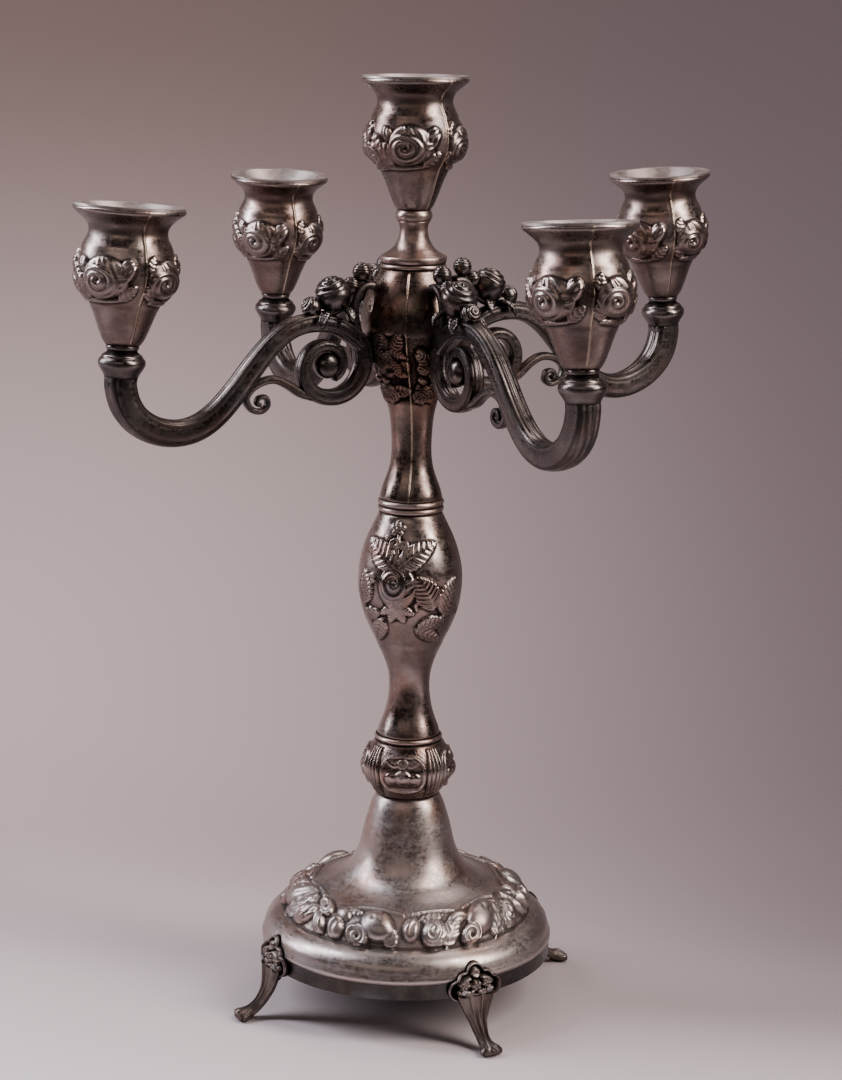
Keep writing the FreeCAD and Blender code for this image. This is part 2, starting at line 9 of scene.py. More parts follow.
import bpy
import numpy as np
from mathutils import Matrix, Vector
from mathutils.bvhtree import BVHTree
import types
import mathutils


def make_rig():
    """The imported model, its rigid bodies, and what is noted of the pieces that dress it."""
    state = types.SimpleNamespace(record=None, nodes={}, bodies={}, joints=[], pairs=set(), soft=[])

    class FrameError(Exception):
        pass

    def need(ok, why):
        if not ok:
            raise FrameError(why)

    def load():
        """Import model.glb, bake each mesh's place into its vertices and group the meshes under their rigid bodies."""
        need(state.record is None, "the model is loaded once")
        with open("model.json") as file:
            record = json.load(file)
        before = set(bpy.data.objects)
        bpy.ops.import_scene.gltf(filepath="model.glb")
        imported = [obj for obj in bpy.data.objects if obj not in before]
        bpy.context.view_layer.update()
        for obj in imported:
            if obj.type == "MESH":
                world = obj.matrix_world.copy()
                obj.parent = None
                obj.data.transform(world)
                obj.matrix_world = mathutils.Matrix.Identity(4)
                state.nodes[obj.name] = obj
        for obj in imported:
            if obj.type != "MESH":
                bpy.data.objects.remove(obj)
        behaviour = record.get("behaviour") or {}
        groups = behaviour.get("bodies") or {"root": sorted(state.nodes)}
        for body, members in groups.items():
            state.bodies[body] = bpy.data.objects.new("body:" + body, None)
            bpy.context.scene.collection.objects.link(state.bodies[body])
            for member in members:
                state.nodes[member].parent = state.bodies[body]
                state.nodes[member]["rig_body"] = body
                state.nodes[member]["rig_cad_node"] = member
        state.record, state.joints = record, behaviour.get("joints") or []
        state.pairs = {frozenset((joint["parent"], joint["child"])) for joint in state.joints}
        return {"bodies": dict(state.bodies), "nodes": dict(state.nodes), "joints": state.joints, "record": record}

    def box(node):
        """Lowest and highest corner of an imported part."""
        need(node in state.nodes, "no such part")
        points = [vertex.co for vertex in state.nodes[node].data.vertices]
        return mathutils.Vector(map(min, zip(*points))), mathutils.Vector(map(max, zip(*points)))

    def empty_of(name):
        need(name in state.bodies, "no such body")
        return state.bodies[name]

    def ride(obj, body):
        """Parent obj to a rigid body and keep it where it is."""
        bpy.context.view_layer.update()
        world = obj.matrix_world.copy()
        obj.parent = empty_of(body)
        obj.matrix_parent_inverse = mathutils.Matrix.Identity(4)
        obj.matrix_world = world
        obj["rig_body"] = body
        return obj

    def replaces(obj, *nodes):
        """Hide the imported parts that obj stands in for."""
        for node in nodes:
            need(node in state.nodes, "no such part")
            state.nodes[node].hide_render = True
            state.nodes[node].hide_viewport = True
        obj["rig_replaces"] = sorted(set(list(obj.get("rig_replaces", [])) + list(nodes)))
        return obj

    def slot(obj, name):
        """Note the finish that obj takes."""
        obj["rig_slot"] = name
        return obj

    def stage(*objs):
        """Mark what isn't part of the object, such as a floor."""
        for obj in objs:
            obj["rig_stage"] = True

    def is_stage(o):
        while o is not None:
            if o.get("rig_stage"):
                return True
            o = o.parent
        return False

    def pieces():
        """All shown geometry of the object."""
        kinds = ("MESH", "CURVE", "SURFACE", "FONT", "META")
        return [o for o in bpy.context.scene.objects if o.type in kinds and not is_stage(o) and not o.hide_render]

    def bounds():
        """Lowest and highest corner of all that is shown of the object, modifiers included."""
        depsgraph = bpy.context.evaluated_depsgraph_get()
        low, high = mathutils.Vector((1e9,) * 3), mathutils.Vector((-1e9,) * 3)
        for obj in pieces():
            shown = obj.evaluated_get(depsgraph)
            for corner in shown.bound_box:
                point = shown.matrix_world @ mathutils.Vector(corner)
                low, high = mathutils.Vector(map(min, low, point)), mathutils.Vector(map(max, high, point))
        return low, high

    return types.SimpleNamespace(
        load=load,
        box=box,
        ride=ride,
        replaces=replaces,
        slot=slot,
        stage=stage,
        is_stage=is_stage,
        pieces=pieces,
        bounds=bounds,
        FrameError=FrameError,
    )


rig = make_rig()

Array = np.ndarray
Socket = bpy.types.NodeSocket
log = logging.getLogger("candelabra")

MM = 0.001
TAU = 2 * math.pi
VIEWER = 240.85  # azimuth of the side that faces the camera, degrees from +X
SPRAY_TURN = -15.5  # the stem's stamped spray sits a little to the left of that side
TRACE_STEP = 0.12 * MM  # how closely a CAD outline is read, well under the finest row of a skin
LINE_SAMPLES = 4000  # samples of a line whose points are then spaced out
SCRATCH = "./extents.json"


class Body(Enum):
    """Frame bodies that pieces ride on."""

    STAND = "stand"


class Slot(Enum):
    """Material slots of the record that the rebuilt pieces fill."""

    BASE = "base_plate"
    STEM = "stem_plate"
    CUP = "cup_plate"
    ARM = "arm_casting"
    FOOT = "foot_casting"


# ---- colour and node helpers


def srgb(code: str) -> tuple[float, float, float, float]:
    """Turns an sRGB hex code into a linear colour.

    Args:
        code: six hex digits after a hash.

    Returns:
        Linear red, green, blue and alpha.
    """
    parts = [int(code[i : i + 2], 16) / 255 for i in (1, 3, 5)]
    linear = [c / 12.92 if c <= 0.04045 else ((c + 0.055) / 1.055) ** 2.4 for c in parts]
    return (*linear, 1.0)


def add_node(tree: bpy.types.NodeTree, kind: str, inputs: dict | None = None, **settings) -> bpy.types.Node:
    """Adds a node with its settings and its inputs.

    Args:
        tree: node tree it goes into.
        kind: type name of the node.
        inputs: value or linked output for each input, by name or index.
        **settings: properties of the node itself.

    Returns:
        The new node.
    """
    node = tree.nodes.new(kind)
    for key, value in settings.items():
        setattr(node, key, value)
    for key, value in (inputs or {}).items():
        if isinstance(value, Socket):
            tree.links.new(value, node.inputs[key])
        else:
            node.inputs[key].default_value = value
    return node


def mask(tree: bpy.types.NodeTree, *factors: Socket | float | tuple) -> Socket:
    """Multiplies outputs, numbers and smooth steps into one mask.

    Args:
        tree: node tree it goes into.
        *factors: outputs, numbers, or smooth steps as (output, low, high, start, end), whose last
            two are 0 and 1 if they aren't given.

    Returns:
        The product's output.
    """
    inputs = ("Value", "From Min", "From Max", "To Min", "To Max")
    product = None
    for factor in factors:
        if isinstance(factor, tuple):
            span = dict(zip(inputs, factor))
            factor = add_node(tree, "ShaderNodeMapRange", span, interpolation_type="SMOOTHSTEP").outputs[0]
        if product is not None:
            pair = {0: product, 1: factor}
            factor = add_node(tree, "ShaderNodeMath", pair, operation="MULTIPLY", use_clamp=True).outputs[0]
        product = factor
    return product


def layered(tree: bpy.types.NodeTree, tone: tuple | Socket, *layers: tuple) -> Socket:
    """Lays colours over each other.

    Args:
        tree: node tree it goes into.
        tone: colour at the bottom.
        *layers: rows of a hex colour and the factors of its mask, from the lowest up.

    Returns:
        The finished colour.
    """
    for colour, *factors in layers:
        links = {0: mask(tree, *factors), 6: tone, 7: srgb(colour)}
        tone = add_node(tree, "ShaderNodeMix", links, data_type="RGBA", clamp_factor=True).outputs[2]
    return tone


def start_material(name: str) -> tuple[bpy.types.Material, bpy.types.NodeTree, Socket]:
    """Starts a material.

    Args:
        name: its name.

    Returns:
        The material, its empty node tree and the output of the piece's own coordinates.
    """
    material = bpy.data.materials.new(name)
    material.use_nodes = True
    tree = material.node_tree
    tree.nodes.clear()
    return material, tree, add_node(tree, "ShaderNodeTexCoord").outputs["Object"]


# ---- finishes


@dataclass(frozen=True)
class PlateFinish:
    """Silver plate over brass, aged by handling, with tarnish lodged in its hollows.

    Rubbed high spots shine, hollows hold brown sulphide, and broad coppery and bluish tints drift
    across the face where the plate has thinned. Faces that turn downwards get a painted shade.
    """

    name: str
    clean: str = "#b5a7a0"
    aged: str = "#5e504b"
    # tarnish colour of the hollows, also used for the painted shade on faces that turn downwards
    tarnish_and_shade: str = "#2a2220"
    blush: str = "#7b5546"
    haze: str = "#62656c"
    age: float = 0.9
    smooth: float = 0.17
    worn: float = 0.36
    grain_mm: float = 0.45
    grain: float = 0.12
    cast: float = 0.0
    dust: float = 0.4
    soot: float = 1.0
    blotch: float = 0.3
    tint: float = 0.65
    # strength of the painted shade on faces that turn downwards
    underside_shade: float = 0.35

    def build(self) -> bpy.types.Material:
        """Makes the material.

        Returns:
            Material with the whole node tree.
        """
        material, tree, where = start_material(self.name)
        relief, solder = (
            add_node(tree, "ShaderNodeAttribute", attribute_name=name).outputs["Fac"]
            for name in ("relief", "solder")
        )
        shape = add_node(tree, "ShaderNodeNewGeometry").outputs
        # how far each face turns up or down, for the painted underside shade
        fall = add_node(tree, "ShaderNodeSeparateXYZ", {0: shape["Normal"]}).outputs["Z"]
        spun = add_node(tree, "ShaderNodeMapping", {"Vector": where, "Scale": (0.12, 0.12, 1.0)}).outputs[0]
        # Blot width in millimetres, octaves and roughness. Polishing leaves a finer grain than the last
        # two, which are drawn as coarse as they need to show.
        sizes = {
            "broad": (26, 4, 0.55), "warm": (19, 4, 0.55), "cool": (15, 3, 0.55), "cloud": (7.5, 5, 0.62),
            "mottle": (1.7, 4, 0.6), "speck": (0.8, 2, 0.5), "brush": (1.1, 4, 0.7),
            "grain": (self.grain_mm, 3, 0.6),
        }
        blots = {
            name: add_node(tree, "ShaderNodeTexNoise", {
                "Vector": spun if name == "brush" else where,
                "Scale": 1 / (width * MM), "Detail": octaves, "Roughness": rough,
            }).outputs["Fac"]
            for name, (width, octaves, rough) in sizes.items()
        }
        cloud, mottle = blots["cloud"], blots["mottle"]
        hollow, crest = (
            add_node(tree, "ShaderNodeMath", {
                0: mask(tree, (relief, *marked)), 1: mask(tree, (shape["Pointiness"], *sharp), self.cast),
            }, operation="MAXIMUM", use_clamp=True).outputs[0]
            for marked, sharp in (((-0.12, -0.8), (0.497, 0.44)), ((0.1, 0.75), (0.505, 0.56)))
        )
        specks = mask(tree, (blots["speck"], 0.7, 0.76), (cloud, 0.45, 0.6), self.dust)
        tone = layered(
            tree, srgb(self.clean),
            (self.aged, (blots["broad"], 0.3, 0.66, 0.6, 1.0), (cloud, 0.2, 0.75, 1 - self.blotch, 1.0),
             self.age),
            (self.blush, (blots["warm"], 0.42, 0.7), (mottle, 0.1, 0.8, 0.5, 1.0), self.tint),
            (self.haze, (blots["cool"], 0.5, 0.75), self.tint * 0.7),
            (self.clean, crest, 0.4),
            (self.tarnish_and_shade, hollow, self.soot),
            # painted shade: faces that turn downwards are darkened
            (self.tarnish_and_shade, (fall, 0.05, -0.4), self.underside_shade),
            ("#b9a68c", solder, 0.42),
            ("#cbbfae", specks),
        )
        film = {0: mask(tree, (cloud, 0.3, 0.7, self.smooth, self.worn)),
                1: mask(tree, (mottle, 0.3, 0.75, -0.05, 0.08))}
        gloss = add_node(tree, "ShaderNodeMath", film, operation="ADD").outputs[0]
        dull = add_node(tree, "ShaderNodeMath", {0: hollow, 1: 0.3, 2: gloss},
                        operation="MULTIPLY_ADD").outputs[0]
        for more in (mask(tree, specks, 0.3), mask(tree, (blots["brush"], 0.3, 0.7, -0.04, 0.04))):
            dull = add_node(tree, "ShaderNodeMath", {0: dull, 1: more}, operation="ADD",
                            use_clamp=True).outputs[0]
        pits = {0: mottle, 1: 0.7, 2: blots["grain"]}
        pits = add_node(tree, "ShaderNodeMath", pits, operation="MULTIPLY_ADD").outputs[0]
        bump = add_node(tree, "ShaderNodeBump",
                        {"Height": pits, "Strength": self.grain, "Distance": 0.25 * MM})
        shader = add_node(tree, "ShaderNodeBsdfPrincipled", {
            "Base Color": tone, "Roughness": dull, "Metallic": 1.0, "Normal": bump.outputs[0],
        })
        add_node(tree, "ShaderNodeOutputMaterial", {"Surface": shader.outputs[0]})
        return material


@dataclass(frozen=True)
class PaperFinish:
    """Matt seamless studio paper, which reads as a soft mauve-grey ground."""

    name: str
    near: str
    middle: str
    far: str
    reach: tuple[float, float]
    heading: float

    def build(self) -> bpy.types.Material:
        """Makes the material.

        Returns:
            Material graded from the near floor to the top of the backdrop, darker to the right and
            towards the camera. These grades are painted light falloff and painted shade.
        """
        material, tree, where = start_material(self.name)
        height = add_node(tree, "ShaderNodeSeparateXYZ", {0: where}).outputs["Z"]
        a = math.radians(self.heading)
        ahead, aside = (
            add_node(tree, "ShaderNodeVectorMath", {0: where, 1: way},
                     operation="DOT_PRODUCT").outputs["Value"]
            for way in ((math.sin(a), math.cos(a), 0), (math.cos(a), -math.sin(a), 0))
        )
        # Paper fibre is finer than this, and is drawn as coarse as it needs to show.
        fibre = add_node(tree, "ShaderNodeTexNoise", {
            "Vector": where, "Scale": 1 / (1.2 * MM), "Detail": 3, "Roughness": 0.55,
        }).outputs["Fac"]
        tone = layered(
            tree, srgb(self.near),
            # painted light falloff: the floor is lighter towards the camera and the backdrop darker towards its top
            (self.middle, (ahead, -0.3, 0.25)),
            (self.far, (height, *self.reach)),
            # painted shade darkening the right side, most on the backdrop
            ("#554a50", (aside, -0.28, 0.36), (ahead, -0.25, 0.08, 0.12, 0.92)),
            # painted shade: the floor nearest the camera fades to dark as painted light falloff
            ("#2a2527", (ahead, -0.24, -0.62, 0.0, 0.94)),
            ("#8f8586", (fibre, 0.55, 0.9, 0.0, 0.12)),
        )
        shader = add_node(tree, "ShaderNodeBsdfPrincipled", {"Base Color": tone, "Roughness": 0.9})
        add_node(tree, "ShaderNodeOutputMaterial", {"Surface": shader.outputs[0]})
        return material


# ---- ornament: each motif is a small raised shape laid on a turned surface


def step_up(x: Array, low: float, high: float) -> Array:
    """Smooth step.

    Args:
        x: values.
        low: where it leaves 0.
        high: where it reaches 1.

    Returns:
        Values from 0 to 1.
    """
    t = np.clip((x - low) / (high - low), 0.0, 1.0)
    return t * t * (3 - 2 * t)


@dataclass(frozen=True)
class Motif:
    """A raised ornament in millimetres: x along the surface, y up it, from its group's middle."""

    x: float
    y: float
    size: float
    lift: float = 1.5
    turn: float = 0.0

    reach = 1.15

    def shape(self, u: Array, v: Array) -> Array:
        """Height of a plain boss at u, v, which are in units of the size."""
        return np.sqrt(np.clip(1 - u * u - v * v, 0, 1))

    def height(self, x: Array, y: Array) -> Array:
        """Height in millimetres over a grid.

        Args:
            x: millimetres along the surface from the group's middle.
            y: millimetres up the surface.

        Returns:
            Height of the ornament, 0 outside it.
        """
        out = np.zeros(np.broadcast(x, y).shape)
        span = self.size * self.reach * 1.05
        near = (np.abs(x - self.x) < span) & (np.abs(y - self.y) < span)
        if near.any():
            dx, dy = (np.broadcast_to(a, out.shape)[near] for a in (x - self.x, y - self.y))
            c, s = math.cos(math.radians(self.turn)), math.sin(math.radians(self.turn))
            out[near] = self.lift * self.shape((dx * c + dy * s) / self.size, (dy * c - dx * s) / self.size)
        return out


@dataclass(frozen=True)
class Whorl(Motif):
    """Half-open rose seen from the side: a spiral heart above two wrapping outer petals."""

    def shape(self, u: Array, v: Array) -> Array:
        """Height of the globe, its spiral heart and the wrapping petals' edges.

        Args:
            u: first coordinate in units of the size.
            v: second coordinate in units of the size.

        Returns:
            Height in units of the lift.
        """
        globe = np.sqrt(np.clip(1 - (u / 0.86) ** 2 - v * v, 0, 1)) ** 0.7
        hx, hy = u + 0.06, v - 0.26
        around = np.arctan2(hy, hx)
        rho = np.hypot(hx * 1.1, hy * 0.86) * (1 + 0.28 * np.cos(around - 0.5))
        coil = np.abs(np.cos(math.pi * (rho / 0.27 - around / TAU)))
        heart = 1 - step_up(rho, 0.62, 0.7)
        lines = np.zeros_like(globe)
        for cx, cy, r in ((0.78, -0.42, 0.78), (0.95, -0.5, 0.72), (-0.85, -0.5, 0.72), (0.1, 0.36, 0.78)):
            lines = np.maximum(lines, np.exp(-(((np.hypot(u - cx, v - cy) - r) / 0.05) ** 2)))
        plain = globe * (0.78 + 0.16 * lines)
        coiled = globe * (0.78 + 0.24 * coil * heart) - 0.16 * np.exp(-((rho / 0.12) ** 2))
        return np.where(heart > 0, coiled, plain)


@dataclass(frozen=True)
class Leaf(Motif):
    """Ribbed leaf from its foot to its tip, with a raised midrib and slanting veins."""

    slim: float = 0.3
    bend: float = 0.0
    veins: int = 6

    def shape(self, u: Array, v: Array) -> Array:
        """Height of the blade, its midrib and veins; u runs along the leaf.

        Args:
            u: first coordinate in units of the size.
            v: second coordinate in units of the size.

        Returns:
            Height in units of the lift.
        """
        across = v - self.bend * u * (1 - u) * 2
        tooth = 1 + 0.08 * np.abs(np.sin(math.pi * self.veins * u))
        half = self.slim * np.sin(math.pi * np.clip(u, 0, 1) ** 0.8) ** 0.7 * tooth + 1e-4
        q = np.abs(across) / half
        blade = (1 - step_up(q, 0.84, 1.0)) * (u > 0) * (u < 1)
        rib = np.exp(-((across / 0.04) ** 2)) * (u > -0.05) * (u < 0.97)
        vein = (0.5 + 0.5 * np.cos(TAU * self.veins * (u - 0.6 * np.abs(across)))) ** 0.8
        return np.maximum(blade * (0.42 + 0.3 * (1 - q * q) + 0.26 * vein * (1 - rib)), 0.92 * rib)


@dataclass(frozen=True)
class Bud(Motif):
    """Closed bud, taller than wide, with wrapped sepals."""

    def shape(self, u: Array, v: Array) -> Array:
        """Height of the egg and its wrapping ridges.

        Args:
            u: first coordinate in units of the size.
            v: second coordinate in units of the size.

        Returns:
            Height in units of the lift.
        """
        rho2 = u * u + (v / 0.68) ** 2
        egg = np.sqrt(np.clip(1 - rho2, 0, 1))
        fold = np.abs(np.sin(math.pi * (1.6 * v + 0.9 * u * u + 0.5 * u)))
        return egg * (0.8 + 0.25 * fold)


@dataclass(frozen=True)
class Ring(Motif):
    """Round rose seen end on, of concentric petals about a deep heart."""

    turns: float = 2.2

    def shape(self, u: Array, v: Array) -> Array:
        """Height of the coil, highest on its rim.

        Args:
            u: first coordinate in units of the size.
            v: second coordinate in units of the size.

        Returns:
            Height in units of the lift.
        """
        rho, around = np.hypot(u, v), np.arctan2(v, u)
        coil = np.abs(np.cos(math.pi * (self.turns * rho * (1 + 0.2 * np.cos(around)) - around / TAU)))
        body = (1 - step_up(rho, 0.88, 1.0)) * (0.62 + 0.16 * rho)
        return body + 0.24 * coil * (1 - step_up(rho, 0.85, 0.95)) - 0.3 * np.exp(-((rho / 0.2) ** 2))


@dataclass(frozen=True)
class Fruit(Motif):
    """Round fruit with a crown line and a dimple at its top."""

    def shape(self, u: Array, v: Array) -> Array:
        """Height of the ball and its crown line.

        Args:
            u: first coordinate in units of the size.
            v: second coordinate in units of the size.

        Returns:
            Height in units of the lift.
        """
        rho = np.hypot(u, v)
        crown = np.hypot(u + 0.12, v - 0.3)
        ball = np.sqrt(np.clip(1 - rho * rho, 0, 1))
        line = np.exp(-(((crown - 0.5) / 0.06) ** 2)) * (v > 0.1)
        return ball - 0.1 * line * ball - 0.16 * np.exp(-((crown / 0.1) ** 2))


@dataclass(frozen=True)
class Blossom(Motif):
    """Small flat blossom with rounded petals and a bead in the middle."""

    petals: int = 5

    def shape(self, u: Array, v: Array) -> Array:
        """Height of the petals and the middle bead.

        Args:
            u: first coordinate in units of the size.
            v: second coordinate in units of the size.

        Returns:
            Height in units of the lift.
        """
        rho, around = np.hypot(u, v), np.arctan2(v, u)
        wave = np.abs(np.cos(around * self.petals / 2))
        t = rho / (0.5 + 0.5 * wave**0.6)
        cup = (1 - step_up(t, 0.84, 1.0)) * (0.5 + 0.3 * np.sin(math.pi * np.clip(t, 0, 1)))
        split = 0.3 * np.exp(-((wave / 0.25) ** 2)) * (rho < 0.75)
        return np.maximum(cup - split, np.sqrt(np.clip(1 - (rho / 0.24) ** 2, 0, 1)))


@dataclass(frozen=True)
class Twig(Motif):
    """Thin stem that bends from its foot, as an arc with a rounded back."""

    width: float = 0.06
    bend: float = 0.0

    def shape(self, u: Array, v: Array) -> Array:
        """Height of the rounded line; u runs along it."""
        off = (v - self.bend * u * (1 - u) * 4) / self.width
        return np.sqrt(np.clip(1 - off * off, 0, 1)) * (u > 0) * (u < 1)


@dataclass(frozen=True)
class Frame(Motif):
    """Oval frame round a sunk panel."""

    slim: float = 0.5

    def shape(self, u: Array, v: Array) -> Array:
        """Height of the frame, with a slightly raised panel inside."""
        q = (np.abs(u) ** 2.4 + np.abs(v / self.slim) ** 2.4) ** (1 / 2.4)
        return np.exp(-(((q - 0.93) / 0.06) ** 2)) + 0.12 * (q < 0.93)


@dataclass(frozen=True)
class Reeds(Motif):
    """Upright band of curved reeds."""

    count: int = 4
    slim: float = 0.45

    def shape(self, u: Array, v: Array) -> Array:
        """Height of the reeds, which spread in the middle.

        Args:
            u: first coordinate in units of the size.
            v: second coordinate in units of the size.

        Returns:
            Height in units of the lift.
        """
        spread = u / self.slim / (0.8 + 0.2 * np.cos(math.pi * np.clip(v, -1, 1)))
        wave = np.abs(np.sin(math.pi * self.count * (np.clip(spread, -1, 1) + 1) / 2)) ** 0.7
        return wave * (np.abs(spread) < 1) * (1 - step_up(np.abs(v), 0.9, 1.0))


@dataclass(frozen=True)
class Group:
    """Motifs round one middle on a turned surface, at an azimuth in degrees and a height in metres."""

    azimuth: float
    level: float
    motifs: tuple[Motif, ...]


@dataclass(frozen=True)
class Seam:
    """Soldered seam up the side, a thin line that wanders a little."""

    azimuth: float
    drift: float = 0.0
    width: float = 0.35
    lift: float = 0.28


# ---- meshes


def mesh_object(name: str, points: Array, faces: list[Array],
                marks: dict[str, Array] | None = None) -> bpy.types.Object:
    """Makes a smooth-shaded object from arrays.

    Args:
        name: name of the object.
        points: vertex positions in metres.
        faces: arrays of faces, each with one face size.
        marks: float attributes by name, one value a vertex.

    Returns:
        The linked object at the origin.
    """
    mesh = bpy.data.meshes.new(name)
    loops = np.concatenate([f.ravel() for f in faces])
    sizes = np.concatenate([np.full(len(f), f.shape[1]) for f in faces])
    mesh.vertices.add(len(points))
    mesh.vertices.foreach_set("co", np.asarray(points, np.float32).ravel())
    mesh.loops.add(len(loops))
    mesh.loops.foreach_set("vertex_index", loops.astype(np.int32))
    mesh.polygons.add(len(sizes))
    mesh.polygons.foreach_set("loop_start", np.concatenate([[0], np.cumsum(sizes)[:-1]]).astype(np.int32))
    for key, values in (marks or {}).items():
        mesh.attributes.new(key, "FLOAT", "POINT").data.foreach_set("value", np.asarray(values, np.float32))
    mesh.update(calc_edges=True)
    mesh.validate()
    mesh.shade_smooth()
    piece = bpy.data.objects.new(name, mesh)
    bpy.context.scene.collection.objects.link(piece)
    return piece


def grid_faces(rows: int, columns: int, closed: bool = False, wraps: bool = True) -> Array:
    """Quads of a grid.

    Args:
        rows: number of rows.
        columns: number of columns.
        closed: whether the last row also joins the first.
        wraps: whether the last column also joins the first.

    Returns:
        Faces as rows of four indices.
    """
    across = np.arange(columns if wraps else columns - 1)
    j, i = np.meshgrid(np.arange(rows if closed else rows - 1), across, indexing="ij")
    right, above = (i + 1) % columns, (j + 1) % rows
    corners = (j * columns + i, j * columns + right, above * columns + right, above * columns + i)
    return np.stack(corners, -1).reshape(-1, 4)


def capped(points: Array, rows: int, columns: int) -> tuple[Array, list[Array]]:
    """Closes a grid of rings with a point at each end.

    Args:
        points: ring points, row by row.
        rows: number of rings.
        columns: points in a ring.

    Returns:
        Points with the two ends added, and the faces.
    """
    first, last = points[:columns].mean(0), points[-columns:].mean(0)
    i = np.arange(columns)
    near, tail = rows * columns, (rows - 1) * columns
    low = np.stack([np.full(columns, near), (i + 1) % columns, i], -1)
    high = np.stack([np.full(columns, near + 1), tail + i, tail + (i + 1) % columns], -1)
    return np.vstack([points, first, last]), [grid_faces(rows, columns), low, high]


def blurred(field: Array, reach: int) -> Array:
    """Average over a neighbourhood, wrapping round the columns.

    Args:
        field: values by row and column.
        reach: cells each way.

    Returns:
        The smoothed values.
    """
    out = field
    for _ in range(2):
        out = sum(np.roll(out, k, 1) for k in range(-reach, reach + 1)) / (2 * reach + 1)
        tall = np.pad(out, ((reach, reach), (0, 0)), mode="edge")
        out = sum(tall[k : k + len(field)] for k in range(2 * reach + 1)) / (2 * reach + 1)
    return out


def wall(node: str, place: Matrix) -> tuple[Array, Array]:
    """Outlines of a turned CAD node, found by looking across its axis.

    Args:
        node: the node's name.
        place: the node's own frame, with its axis along Z.

    Returns:
        Outer and inner outlines as (radius, height) rows from the foot up. The inner one is empty
        where the piece is solid.
    """
    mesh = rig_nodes()[node].data
    back = place.inverted()
    points = [back @ v.co for v in mesh.vertices]
    tree = BVHTree.FromPolygons(points, [tuple(p.vertices) for p in mesh.polygons])
    low, high = (f(p.z for p in points) + s for f, s in ((min, 4e-6), (max, -4e-6)))
    aside = Vector((math.cos(0.8), math.sin(0.8), 0))
    outer, inner = [], []
    for z in np.linspace(low, high, max(int((high - low) / TRACE_STEP), 8)):
        hit = tree.ray_cast(aside * 0.3 + Vector((0, 0, z)), -aside)[0]
        if hit is None:
            continue
        outer.append((hit.xy.length, z))
        bore = tree.ray_cast(Vector((1e-6, 0, z)), aside)[0]
        if bore is not None and bore.xy.length < outer[-1][0] - 0.2 * MM:
            inner.append((bore.xy.length, z))
    return np.array(outer), np.array(inner)


def eased(line: Array, reach: float = 1.2 * MM, keep: float = 0.12 * MM) -> Array:
    """Takes the facets out of an outline and leaves its creases.

    Args:
        line: (radius, height) rows.
        reach: how far along the line the easing looks, in metres.
        keep: a point that would move much more than this stays.

    Returns:
        Evenly spaced (radius, height) rows.
    """
    along = np.concatenate([[0], np.cumsum(np.hypot(*np.diff(line, axis=0).T))])
    cells = 8
    even = np.arange(0, along[-1], reach / cells)
    even = np.stack([np.interp(even, along, line[:, k]) for k in (0, 1)], -1)
    even = np.vstack([even, line[-1:]])
    tail = 3 * cells
    kernel = np.exp(-0.5 * (np.arange(-tail, tail + 1) / cells) ** 2)
    wide = np.pad(even, ((tail, tail), (0, 0)), mode="reflect", reflect_type="odd")
    soft = np.stack([np.convolve(wide[:, k], kernel / kernel.sum(), "valid") for k in (0, 1)], -1)
    moved = np.hypot(*(soft - even).T)
    return even + (soft - even) * np.exp(-((moved / keep) ** 2))[:, None]


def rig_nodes() -> dict[str, bpy.types.Object]:
    """CAD nodes by name."""
    return {o["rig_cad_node"]: o for o in bpy.data.objects if "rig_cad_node" in o}


def spaced(line: Array, bands: tuple, fine: float, coarse: float) -> Array:
    """Points along a line, close together inside the height bands.

    Args:
        line: (radius, height) rows.
        bands: height spans with the close spacing.
        fine: close spacing.
        coarse: spacing elsewhere.

    Returns:
        New (radius, height) rows.
    """
    along = np.concatenate([[0], np.cumsum(np.hypot(*np.diff(line, axis=0).T))])
    dense = np.linspace(0, along[-1], LINE_SAMPLES)
    height = np.interp(dense, along, line[:, 1])
    close = sum(((height > low) & (height < high) for low, high in bands), np.zeros(LINE_SAMPLES))
    pace = np.cumsum(np.where(close > 0, 1 / fine, 1 / coarse))
    picks = np.interp(np.linspace(pace[0], pace[-1], int(pace[-1] * along[-1] / LINE_SAMPLES) + 4), pace,
                      dense)
    return np.stack([np.interp(picks, along, line[:, k]) for k in (0, 1)], -1)


